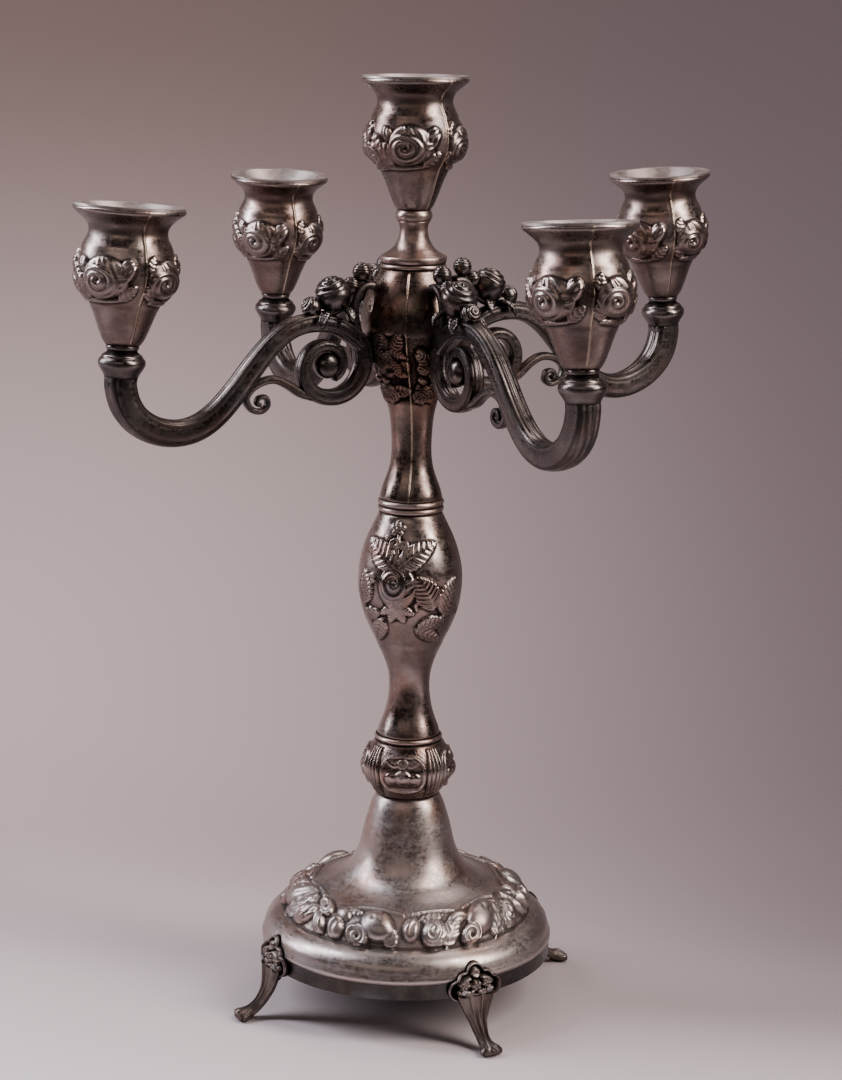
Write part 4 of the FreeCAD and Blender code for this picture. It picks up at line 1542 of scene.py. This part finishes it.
@dataclass(frozen=True)
class Stem:
    """Knop, lower vase, upper vase, cap and the bead rings between them."""

    finish: bpy.types.Material
    dark: bpy.types.Material
    neck: bpy.types.Material

    def knop(self) -> None:
        """Makes the bulging knop with its framed panels and reeded bands."""
        panel = (
            Frame(0, 0.4, 11.6, 1.1, slim=0.86), Fruit(-5.6, -1.8, 3.6, 1.3), Fruit(0.2, -1.0, 4.2, 1.6),
            Fruit(5.9, -1.8, 3.5, 1.3), Ring(0, 6.2, 2.5, 1.1, turns=2), Leaf(-1.8, 5.6, 6.6, 0.9, 165),
            Leaf(1.8, 5.6, 6.6, 0.9, 15), Twig(-9.5, -6.8, 19.0, 0.8, 0, width=0.05, bend=-0.06),
        )
        groups = [Group(VIEWER - 7 + 90 * k, 0.1125, panel) for k in range(4)]
        reeds = (Reeds(0, 0, 13.5, 1.2, slim=0.34),)
        groups += [Group(VIEWER + 38 + 90 * k, 0.1125, reeds) for k in range(4)]
        TurnedSkin("base_knop_skin", "base_knop", columns=320, bands=((0.0985, 0.1265),),
                   groups=tuple(groups), sink=0.35, pebbles=0.15, seed=4).build(self.finish, Slot.STEM)

    def spray(self) -> tuple[Motif, ...]:
        """The stamped rose spray of the lower vase.

        Returns:
            Its motifs about the big rose.
        """
        leaves = (
            Leaf(-0.6, 7.5, 20.5, 1.7, 143, slim=0.31, bend=-0.05, veins=8),
            Leaf(1.2, 7.5, 20.5, 1.7, 36, slim=0.29, bend=0.1, veins=8),
            Leaf(17.4, -11.5, 18.0, 1.6, 118, slim=0.34, bend=-0.16, veins=8),
            Leaf(-18.6, -11.0, 16.5, 1.5, 86, slim=0.36, veins=8),
            Leaf(22.7, -15.0, 19.0, 1.5, 66, slim=0.33, veins=8),
            Leaf(9.5, -20.5, 14.0, 1.5, 14, slim=0.3), Leaf(8.4, -21.5, 14.0, 1.5, -32, slim=0.3),
            Leaf(-7.4, -17.0, 14.0, 1.5, -110, slim=0.32), Leaf(-8.4, -13.5, 10.0, 1.3, 205, slim=0.3),
            Leaf(25.0, -12.0, 10.0, 1.2, -18, slim=0.34), Leaf(-0.6, -11.0, 8.0, 1.4, 250, slim=0.3),
            Leaf(0.6, -11.0, 8.0, 1.4, 292, slim=0.3), Leaf(0.0, -10.0, 9.0, 1.6, 208, slim=0.26),
            Leaf(0.4, -10.0, 9.0, 1.6, 334, slim=0.26),
        )
        flowers = (
            Whorl(0.4, -1.2, 10.4, 2.6), Ring(-1.6, 19.0, 2.9, 1.4), Ring(2.6, 18.4, 2.3, 1.2),
            Bud(-5.4, 21.8, 2.2, 1.1, 40),
            Blossom(-1.2, 26.0, 3.9, 1.3, 18), Bud(-10.5, 14.6, 2.4, 1.0, 60),
            Bud(9.4, 16.2, 2.4, 1.0, 120),
            Twig(0.2, 8.0, 16.0, 0.9, 92, width=0.05),
            Twig(9.6, -12.5, 9.0, 0.9, 62, width=0.09, bend=0.22),
            Twig(-15.5, -14.5, 12.0, 0.9, 128, width=0.06, bend=0.12), Ring(-14.0, -14.5, 3.0, 1.2),
            Twig(14.0, -16.0, 14.0, 0.9, 8, width=0.06, bend=-0.1), Ring(-13.0, 2.0, 2.6, 1.0),
        )
        return (*leaves, *flowers)

    def lower_vase(self) -> None:
        """Makes the lower vase with a rose spray on each half."""
        front = VIEWER + SPRAY_TURN
        groups = tuple(Group(front + 180 * k, 0.204, self.spray()) for k in (0, 1))
        seams = tuple(Seam(front + 100 + 180 * k, 0.6, lift=0.14) for k in (0, 1))
        TurnedSkin("lower_stem_skin", "lower_stem", columns=350, bands=((0.171, 0.2335),), groups=groups,
                   seams=seams, sink=0.25, dents=0.08, seed=5).build(self.finish, Slot.STEM)

    def upper_vase(self) -> None:
        """Makes the upper vase, with a small spray between each two arms and its seams."""
        rng = np.random.default_rng(61)
        low, high = (-5.5, -15, 6.5, 0.9, 0), (5.5, 9, 10, 1.7, 360)
        spray = tuple(Leaf(*rng.uniform(low, high), slim=0.36, veins=5) for _ in range(22))
        low, high = (-5, -12, 2.2, 1.4, 0), (5, 10, 3.2, 2.0, 360)
        spray += tuple(Bud(*rng.uniform(low, high)) for _ in range(6))
        middles = [VIEWER - 5 + 90 * k + side for k in range(4) for side in (-32, 34)]
        groups = tuple(Group(middle, 0.303, spray) for middle in middles)
        seams = tuple(Seam(VIEWER - 5 + 180 * k, 1.0, 0.28, 0.2) for k in (0, 1))
        TurnedSkin("stem_body_skin", "stem_body", columns=420, bands=((0.284, 0.319),), groups=groups,
                   seams=seams, sink=0.3, dents=0.1, pebbles=0.25, crisp=0.6, band_darkening=0.55,
                   seed=6).build(self.dark, Slot.STEM)

    def rings(self) -> None:
        """Makes the cap and the bead rings."""
        for node, seed in (("knop_ring", 7), ("stem_collar", 8), ("body_cap", 9), ("cup_collar", 10)):
            TurnedSkin(f"{node}_skin", node, columns=160, coarse=0.35 * MM, dents=0.03,
                       seed=seed).build(self.neck, Slot.STEM)

    def build(self) -> None:
        """Makes every piece of the stem."""
        self.knop()
        self.lower_vase()
        self.upper_vase()
        self.rings()


@dataclass(frozen=True)
class Cups:
    """The five stamped cups."""

    finish: bpy.types.Material
    eye: Vector
    seams: dict[str, float]

    def spray(self) -> tuple[Motif, ...]:
        """Roses and leaves of one half, measured from its seam.

        Returns:
            The motifs.
        """
        roses = (
            Whorl(-17.4, 0.0, 10.8, 3.4, 78), Bud(-7.4, 3.8, 5.4, 2.4, 70), Whorl(11.6, 0.2, 10.0, 3.2, 96),
            Bud(24.6, 5.0, 4.4, 1.9, 60), Ring(27.4, -3.4, 4.6, 2.0), Bud(-29.0, 5.4, 4.0, 1.8, 110),
        )
        leaves = (
            Leaf(-9.0, -9.4, 9.0, 1.5, 48, slim=0.36, veins=4),
            Leaf(-25.0, -5.0, 11.0, 1.5, 150, slim=0.36, veins=4),
            Leaf(3.6, -9.2, 9.6, 1.5, 88, slim=0.34, veins=4),
            Leaf(19.0, -8.6, 12.5, 1.5, 64, slim=0.34, veins=4),
            Leaf(19.0, 5.6, 7.6, 1.3, 40, slim=0.36, veins=4),
            Leaf(32.6, -9.0, 14.5, 1.7, 98, slim=0.36, veins=5),
            Leaf(-23.6, -9.0, 11.0, 1.5, 178, slim=0.32, veins=4),
            Leaf(2.4, 4.0, 7.0, 1.3, 74, slim=0.36, veins=4),
            Twig(-27.0, -10.4, 22.0, 1.1, 4, width=0.06, bend=-0.06),
            Twig(4.0, -10.4, 24.0, 1.1, 0, width=0.06, bend=-0.05),
        )
        return (*roses, *leaves)

    def build(self, places: list[Branch]) -> None:
        """Makes the cups.

        Args:
            places: the candle places.
        """
        centre = next(b for b in places if b.name == "centre")
        outline = wall("cup_centre", centre.place)
        for index, place in enumerate(places):
            seam = place.facing(self.eye) + self.seams[place.name]
            groups = tuple(Group(seam + 180 * k, 0.029, self.spray()) for k in (0, 1))
            lines = tuple(Seam(seam + 180 * k, 0.4, 0.34, 0.24) for k in (0, 1))
            TurnedSkin(f"cup_{place.name}_skin", f"cup_{place.name}", place.place, 330,
                       bands=((0.0155, 0.0425),), groups=groups, seams=lines, sink=0.45, dents=0.08,
                       seed=20 + index, outline=outline).build(self.finish, Slot.CUP)


# ---- castings


@dataclass(frozen=True)
class Arms:
    """The cast arms, each with its volute, eye, spur, collar and rose spray."""

    finish: bpy.types.Material
    trees: Trees
    eye_r: float = 43.6 * MM
    eye_z: float = 303.9 * MM
    reach: float = 136.8 * MM

    def bent(self, path: Array, rise: float) -> Array:
        """Raises a path towards the cup.

        Args:
            path: (radius, height) rows.
            rise: how far the cup is raised.

        Returns:
            The raised path.
        """
        share = np.clip((path[:, 0] - self.eye_r - 10 * MM) / (self.reach - self.eye_r - 10 * MM), 0, 1)
        return np.stack([path[:, 0], path[:, 1] + rise * share], -1)

    def path(self, branch: Branch) -> Array:
        """Middle line of an arm from its collar to the heart of its volute.

        Args:
            branch: the arm's candle place.

        Returns:
            (radius, height) rows in metres.
        """
        inward = branch.upright.inverted()
        start = [inward @ (branch.foot - branch.axis * d * MM) for d in (13.5, 17.9)]
        swan = MM * np.array([
            (140.2, 293.4), (135.4, 286.4), (127.4, 281.2), (117.2, 278.9), (107.0, 280.5), (97.4, 286.2),
            (88.2, 295.4), (79.6, 305.8), (70.6, 315.2), (60.4, 321.6), (49.4, 323.4), (38.0, 321.0),
        ])
        a = np.radians(np.arange(150, 601, 15))
        out = np.interp(np.degrees(a), [150, 180, 270, 360, 450, 540, 600],
                        [18.9, 18.0, 14.2, 11.8, 9.2, 7.2, 6.2]) * MM
        volute = np.stack([self.eye_r + out * np.cos(a), self.eye_z + out * np.sin(a)], -1)
        rest = self.bent(np.vstack([swan, volute]), branch.rise)
        return smooth_path(np.vstack([[(p.x, p.z) for p in start], rest]), 230)

    def build_arm(self, branch: Branch) -> None:
        """Makes one arm.

        Args:
            branch: the arm's candle place.
        """
        clay = Clay()
        path = self.path(branch)
        t = np.linspace(0, 1, len(path))
        depth = np.interp(t, [0, 0.06, 0.26, 0.46, 0.7, 0.84, 1], [6.6, 6.6, 5.4, 4.4, 4.1, 3.2, 2.2]) * MM
        broad = np.interp(t, [0, 0.06, 0.3, 0.5, 0.85, 1], [6.8, 6.9, 5.4, 4.9, 4.4, 3.4]) * MM
        self.trees.bar(clay, path, depth, broad, bead_section(2.7, 0.13, 5), self.finish)
        spur = MM * np.array([
            (51.0, 290.6), (57.2, 292.6), (63.2, 296.6), (69.4, 299.2), (75.6, 298.6), (81.0, 295.6),
            (83.4, 291.4),
            (81.0, 287.0), (76.4, 285.6), (73.0, 288.0), (73.8, 291.6), (77.2, 291.6), (78.2, 289.2),
            (76.4, 288.4),
        ])
        line = smooth_path(self.bent(spur, branch.rise), 90)
        u = np.linspace(0, 1, 90)
        self.trees.bar(clay, line, np.interp(u, [0, 0.4, 1], [2.2, 1.9, 1.0]) * MM,
                       np.interp(u, [0, 0.4, 1], [3.0, 2.7, 1.9]) * MM, bead_section(2.4, 0.12, 3, 40),
                       self.finish)
        a = np.linspace(-math.pi / 2, math.pi / 2, 31)[1:-1]
        profile = np.stack([5.9 * np.cos(a) ** 0.6, 5.2 * np.sin(a)], -1) * MM
        points, faces = boss(profile, 56)
        turned = np.stack([points[:, 0] + self.eye_r, points[:, 2], self.eye_z - points[:, 1]], -1)
        clay.add(turned, faces)
        piece = clay.piece(f"arm_{branch.name}_casting", branch.upright)
        settle(piece, self.finish, Slot.ARM, Body.STAND.value, f"arm_{branch.name}")

    def petal(self) -> bpy.types.Object:
        """Makes one cupped petal of unit reach, its lip towards -X.

        Returns:
            The petal, for instancing.
        """
        u, v = np.meshgrid(np.linspace(-1, 1, 13), np.linspace(0, 1, 10))
        x = (0.5 - v) * 1.2
        lip = np.sqrt(np.clip(1 - np.clip(v - 0.55, 0, 1) ** 2 * 2.6, 0.16, 1))
        y = u * (0.36 + 0.5 * np.sin(math.pi * (0.12 + 0.7 * v))) * lip
        z = -(x * x + y * y) * 0.5 + 0.1 * v**3
        top = np.stack([x, y, z], -1).reshape(-1, 3)
        bottom = top - np.array([0, 0, 0.13])
        rows, columns = u.shape
        quads = np.roll(grid_faces(rows, columns, wraps=False)[:, ::-1], 1, 1)
        loop = np.concatenate([np.arange(columns), columns * np.arange(1, rows) + columns - 1,
                               (rows - 1) * columns + np.arange(columns - 2, -1, -1),
                               columns * np.arange(rows - 2, 0, -1)])
        ahead, count = np.roll(loop, -1), rows * columns
        rim = np.stack([loop, loop + count, ahead + count, ahead], -1)
        faces = np.vstack([quads[:, ::-1], quads + count, rim[:, ::-1]])
        return mesh_object("petal", np.vstack([top, bottom]), [faces])

    def flower(self, clay: Clay, petal: bpy.types.Object, at: tuple, radius: float, tilt: float,
               petals: int, opening: float, seed: int) -> None:
        """Adds a rose or a bud made of overlapping petals round a heart.

        Args:
            clay: where it is added.
            petal: the petal to repeat.
            at: (radius, side, height) of its middle, in millimetres.
            radius: its radius in millimetres.
            tilt: degrees that it leans outward.
            petals: number of petals.
            opening: how far the petals reach round it, in radians.
            seed: seed of its irregularity.
        """
        start = outline_object("start", np.zeros((1, 3)), False)
        points, faces = grow(start, self.trees.petals, Petal=petal, Count=petals, Radius=0.66, Closed=0.85,
                             Opening=opening, Seed=seed, Finish=self.finish)
        turn = np.array(Matrix.Rotation(math.radians(tilt), 3, "Y"))
        clay.add(points @ turn.T * radius * MM + np.array(at) * MM, faces, 0.1)
        a = np.linspace(-math.pi / 2, math.pi / 2, 47)[1:-1]
        heart, skins = boss(np.stack([np.cos(a), np.sin(a)], -1), 56)
        polar, around = np.arccos(np.clip(heart[:, 2], -1, 1)), np.arctan2(heart[:, 1], heart[:, 0])
        groove = np.abs(np.cos(math.pi * (polar / 0.36 - around / TAU))) ** 0.7 - 0.6
        coil = groove * (1 - step_up(polar, 1.1, 1.5))
        heart = heart * (0.9 + 0.1 * coil)[:, None]
        clay.add(heart @ turn.T * radius * MM + np.array(at) * MM, skins, np.clip(coil * 2, -1, 0.6))

    def leaf(self, clay: Clay, at: tuple, length: float, yaw: float, droop: float) -> None:
        """Adds a ribbed leaf.

        Args:
            clay: where it is added.
            at: (radius, side, height) of its foot, in millimetres.
            length: its length in millimetres.
            yaw: degrees from outward, seen from above.
            droop: degrees that its tip hangs.
        """
        a = np.arange(64) / 64 * TAU
        reach = 1 / np.sqrt((np.cos(a) / 0.5) ** 2 + (np.sin(a) / 0.2) ** 2) * (1 + 0.05 * np.sin(12 * a))
        blade = (Leaf(-length * 0.48, 0, length * 0.97, 0.9, slim=0.2, veins=6),)
        points, faces, relief = patch(reach * length * MM, 18, 0.9 * MM, blade, 0.0)
        points[:, 2] -= 0.9 * (points[:, 0] ** 2) / (length * MM)
        points[:, 0] += length * 0.48 * MM
        turn = Matrix.Rotation(math.radians(yaw), 3, "Z") @ Matrix.Rotation(math.radians(droop), 3, "Y")
        clay.add(points @ np.array(turn).T + np.array(at) * MM, faces, relief)

    def build_spray(self, branch: Branch, petal: bpy.types.Object, seed: int) -> None:
        """Makes the rose spray on one arm's shoulder.

        Args:
            branch: the arm's candle place.
            petal: the petal to repeat.
            seed: seed of its irregularity.
        """
        clay = Clay()
        self.flower(clay, petal, (40.4, 0, 335.4), 8.8, 24, 9, 2.0, seed)
        self.flower(clay, petal, (51.2, 0, 330.4), 5.0, 62, 7, 2.0, seed + 1)
        self.flower(clay, petal, (31.6, 0, 338.8), 4.4, -12, 7, 2.0, seed + 2)
        self.flower(clay, petal, (26.2, 0, 344.6), 4.7, 0, 7, 2.0, seed + 3)
        for at, length, yaw, droop in (
            ((44.0, 2.6, 329.4), 11.5, 44, 30), ((44.0, -2.6, 329.4), 11.5, -44, 30),
            ((37.0, 3.4, 330.6), 9.5, 100, 34),
            ((37.0, -3.4, 330.6), 9.5, -100, 34), ((52.0, 0, 327.2), 8.0, 0, 42),
        ):
            self.leaf(clay, at, length, yaw, droop)
        strap = smooth_path(MM * np.array([
            (20.8, 338.6), (25.0, 338.7), (28.8, 335.8), (30.9, 330.0), (30.3, 323.3), (28.8, 316.6)]), 40)
        flat = np.full(40, 1.0)
        self.trees.bar(clay, strap, flat * 2.1 * MM, flat * 4.2 * MM, bead_section(2.8, 0.1, 4, 48),
                       self.finish)
        twig = smooth_path(MM * np.array([
            (50.0, 329.6), (44.0, 327.6), (37.0, 329.5), (31.0, 334.0), (25.8, 340.5)]), 40)
        self.trees.bar(clay, twig, flat * 2.2 * MM, flat * 2.6 * MM, bead_section(2.2, 0.0, 6, 40),
                       self.finish)
        piece = clay.piece(f"rose_cluster_{branch.name}_casting", branch.upright)
        settle(piece, self.finish, Slot.ARM, Body.STAND.value, f"rose_cluster_{branch.name}")

    def build(self, places: list[Branch]) -> None:
        """Makes every arm.

        Args:
            places: the candle places.
        """
        petal = self.petal()
        for index, branch in enumerate(b for b in places if b.name != "centre"):
            self.build_arm(branch)
            self.build_spray(branch, petal, 40 + 5 * index)
            TurnedSkin(f"arm_collar_{branch.name}_skin", f"arm_collar_{branch.name}", branch.place, 120,
                       coarse=0.35 * MM, dents=0.05, seed=60 + index).build(self.finish, Slot.ARM)
        bpy.data.objects.remove(petal)


@dataclass(frozen=True)
class Feet:
    """The four cast feet."""

    finish: bpy.types.Material
    trees: Trees

    def shield(self, clay: Clay, edge: Array) -> None:
        """Adds the trefoil shield that lies against the dome's edge.

        Args:
            clay: where it is added.
            edge: outer outline of the dome as (radius, height) rows.
        """
        a = np.arange(132) / 132 * TAU
        ray = np.stack([np.cos(a), np.sin(a)])
        reach = np.zeros(132)
        for y, z, r in ((0, 8.4, 4.6), (8.2, 1.0, 5.2), (-8.2, 1.0, 5.2), (5.0, 4.6, 4.6), (-5.0, 4.6, 4.6),
                        (0, -0.6, 8.4)):
            middle = ray[0] * y + ray[1] * z
            root = np.clip(middle**2 - (y * y + z * z - r * r), 0, None)
            reach = np.maximum(reach, middle + np.sqrt(root))
        spots = ((2.6, -1.6), (6.6, -0.6), (5.2, 3.2))
        motifs = [Blossom(s * x, y, 2.7, 1.7, 25 * x) for s in (-1, 1) for x, y in spots]
        motifs += [Blossom(0, 2.4, 2.9, 1.9, 36), Blossom(0, -4.8, 2.4, 1.5, 10),
                   Ring(0, 8.4, 2.2, 1.3, turns=2)]
        motifs += [Twig(s * 1.0, -8.6, 9.5, 1.3, 90 - s * 24, width=0.11, bend=-s * 0.1) for s in (-1, 1)]
        motifs += [Twig(s * 2.6, 6.2, 6.4, 1.2, 90 - s * 118, width=0.14, bend=s * 0.1) for s in (-1, 1)]
        points, faces, relief = patch(reach * MM, 34, 1.5 * MM, tuple(motifs), -1.1)
        height = 25.6 * MM + points[:, 1]
        order = edge[np.argsort(edge[:, 1])]
        radius = np.interp(height, order[:, 1], order[:, 0]) + points[:, 2] + 0.1 * MM
        turn = points[:, 0] / 68.9 / MM
        clay.add(np.stack([radius * np.cos(turn), radius * np.sin(turn), height], -1), faces, relief)

    def rib_section(self, count: int = 96) -> Array:
        """Section of the leg: flat, with four ribs down its front and deep channels between them.

        Args:
            count: points round the section.

        Returns:
            (depth, breadth) rows in units of the half sizes.
        """
        section = bead_section(3.4, 0.0, 1, count)
        rib = np.abs(np.cos(1.5 * math.pi * section[:, 1])) ** 0.8
        front = step_up(section[:, 0], 0.3, 0.7)
        section[:, 0] -= front * (0.75 * (1 - rib) - 0.12)
        return section

    def build(self) -> None:
        """Makes the feet."""
        edge, _ = wall("base_dome", Matrix())
        for name in ("right", "rear", "left", "front"):
            clay = Clay()
            self.shield(clay, edge)
            line = smooth_path(MM * np.array([
                (70.4, 24.0), (70.8, 19.0), (72.2, 13.2), (75.4, 7.9), (79.2, 4.5), (83.4, 2.7),
                (88.3, 2.1)]), 70)
            u = np.linspace(0, 1, 70)
            broad = np.interp(u, [0, 0.2, 0.4, 0.6, 0.76, 0.9, 0.96, 1],
                              [9.6, 6.9, 4.3, 3.0, 3.1, 5.4, 4.9, 1.2])
            depth = np.interp(u, [0, 0.3, 0.6, 0.85, 0.95, 1], [1.8, 1.9, 2.0, 2.2, 2.0, 0.6])
            self.trees.bar(clay, line, depth * MM, broad * MM, self.rib_section(), self.finish)
            low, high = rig.box(f"foot_{name}")
            azimuth = math.atan2(low[1] + high[1], low[0] + high[0])
            piece = clay.piece(f"foot_{name}_casting", Matrix.Rotation(azimuth, 4, "Z"))
            settle(piece, self.finish, Slot.FOOT, Body.STAND.value, f"foot_{name}")


def paint(nodes: dict[str, bpy.types.Object], names: tuple[str, ...], finish: bpy.types.Material) -> None:
    """Gives plain CAD nodes their finish.

    Args:
        nodes: CAD nodes by name.
        names: starts of the names to paint.
        finish: the finish.
    """
    for name, node in nodes.items():
        if name.startswith(names):
            node.data.materials.clear()
            node.data.materials.append(finish)
            log.info("%s: painted", name)


def main() -> None:
    """Builds the scene."""
    logging.basicConfig(level=logging.INFO, format="%(message)s")
    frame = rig.load()
    loaded = [list(corner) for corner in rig.bounds()]
    studio = Studio()
    studio.build()
    dome = PlateFinish("silver_plate_stamped_satin", clean="#cdc3bf", aged="#877b75", age=0.75, smooth=0.3,
                       worn=0.4, blush="#8f6350", haze="#7d838b", grain=0.06, soot=0.85, dust=0.0,
                       blotch=0.12, tint=0.6, underside_shade=0.0).build()
    stamped = PlateFinish("silver_plate_stamped_tarnished").build()
    # a darker copy of the stamped plate, used on the upper vase
    darker_stamped = PlateFinish(
        "silver_plate_stamped_smoked", clean="#9a8a82", aged="#3f302b", blush="#6e4634", haze="#4d4a40",
        dust=1.0, tarnish_and_shade="#120d0b", blotch=0.5, tint=0.9, smooth=0.15, worn=0.38).build()
    beaded = PlateFinish(
        "silver_plate_turned_tarnished", clean="#b8a69e", aged="#745f57", blush="#8a6553", smooth=0.27,
        worn=0.42).build()
    # the cups take a stronger painted shade on their downward-facing cones
    cup = PlateFinish("silver_plate_stamped_rubbed", clean="#c6b8b1", aged="#675650", smooth=0.22,
                      worn=0.36, dust=0.5, blotch=0.2, underside_shade=0.62).build()
    cast = PlateFinish("silver_plate_cast_worn", clean="#857e7b", aged="#3a3230", tarnish_and_shade="#120e0d",
                       smooth=0.22, worn=0.36, cast=1.0, blush="#4f3a31", haze="#3b4049", grain=0.1,
                       blotch=0.25, dust=0.2).build()
    foot = PlateFinish("brass_cast_plate_gone", clean="#968b86", aged="#4a403c", tarnish_and_shade="#100d0c",
                       smooth=0.32, worn=0.48, cast=1.0, blush="#5a463d", haze="#4c4d4f", grain=0.22,
                       blotch=0.5).build()
    pan = PlateFinish("plate_unpolished_dark", clean="#5c5855", aged="#262322", smooth=0.24, worn=0.4,
                      blush="#332a26").build()
    socket = PlateFinish(
        "silver_plate_spun_dull", clean="#d8cdc9", aged="#a0938f", smooth=0.34, worn=0.46, age=0.6,
        blush="#94766a", haze="#8d8c90", blotch=0.12, tint=0.4, dust=0.0).build()
    steel = PlateFinish("zinc_plated_steel_dull", clean="#a8a9aa", aged="#77777a", blush="#7d6a58",
                        age=0.5).build()
    places = branches(frame["record"])
    Base(dome).build()
    Stem(stamped, darker_stamped, beaded).build()
    offsets = {"centre": 43.0, "left": 22.0, "rear": 24.0, "front": 12.0, "right": 16.0}
    Cups(cup, Vector(studio.eye), offsets).build(places)
    trees = Trees()
    Arms(cast, trees).build(places)
    Feet(foot, trees).build()
    paint(frame["nodes"], ("base_pan",), pan)
    paint(frame["nodes"], ("nozzle_",), socket)
    paint(frame["nodes"], ("tie_rod", "rod_", "cup_screws", "arm_screws", "foot_rivets"), steel)
    final = [list(corner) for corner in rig.bounds()]
    with open(SCRATCH, "w", encoding="utf-8") as file:
        json.dump({"loaded": loaded, "final": final}, file)


if __name__ == "__main__":
    main()
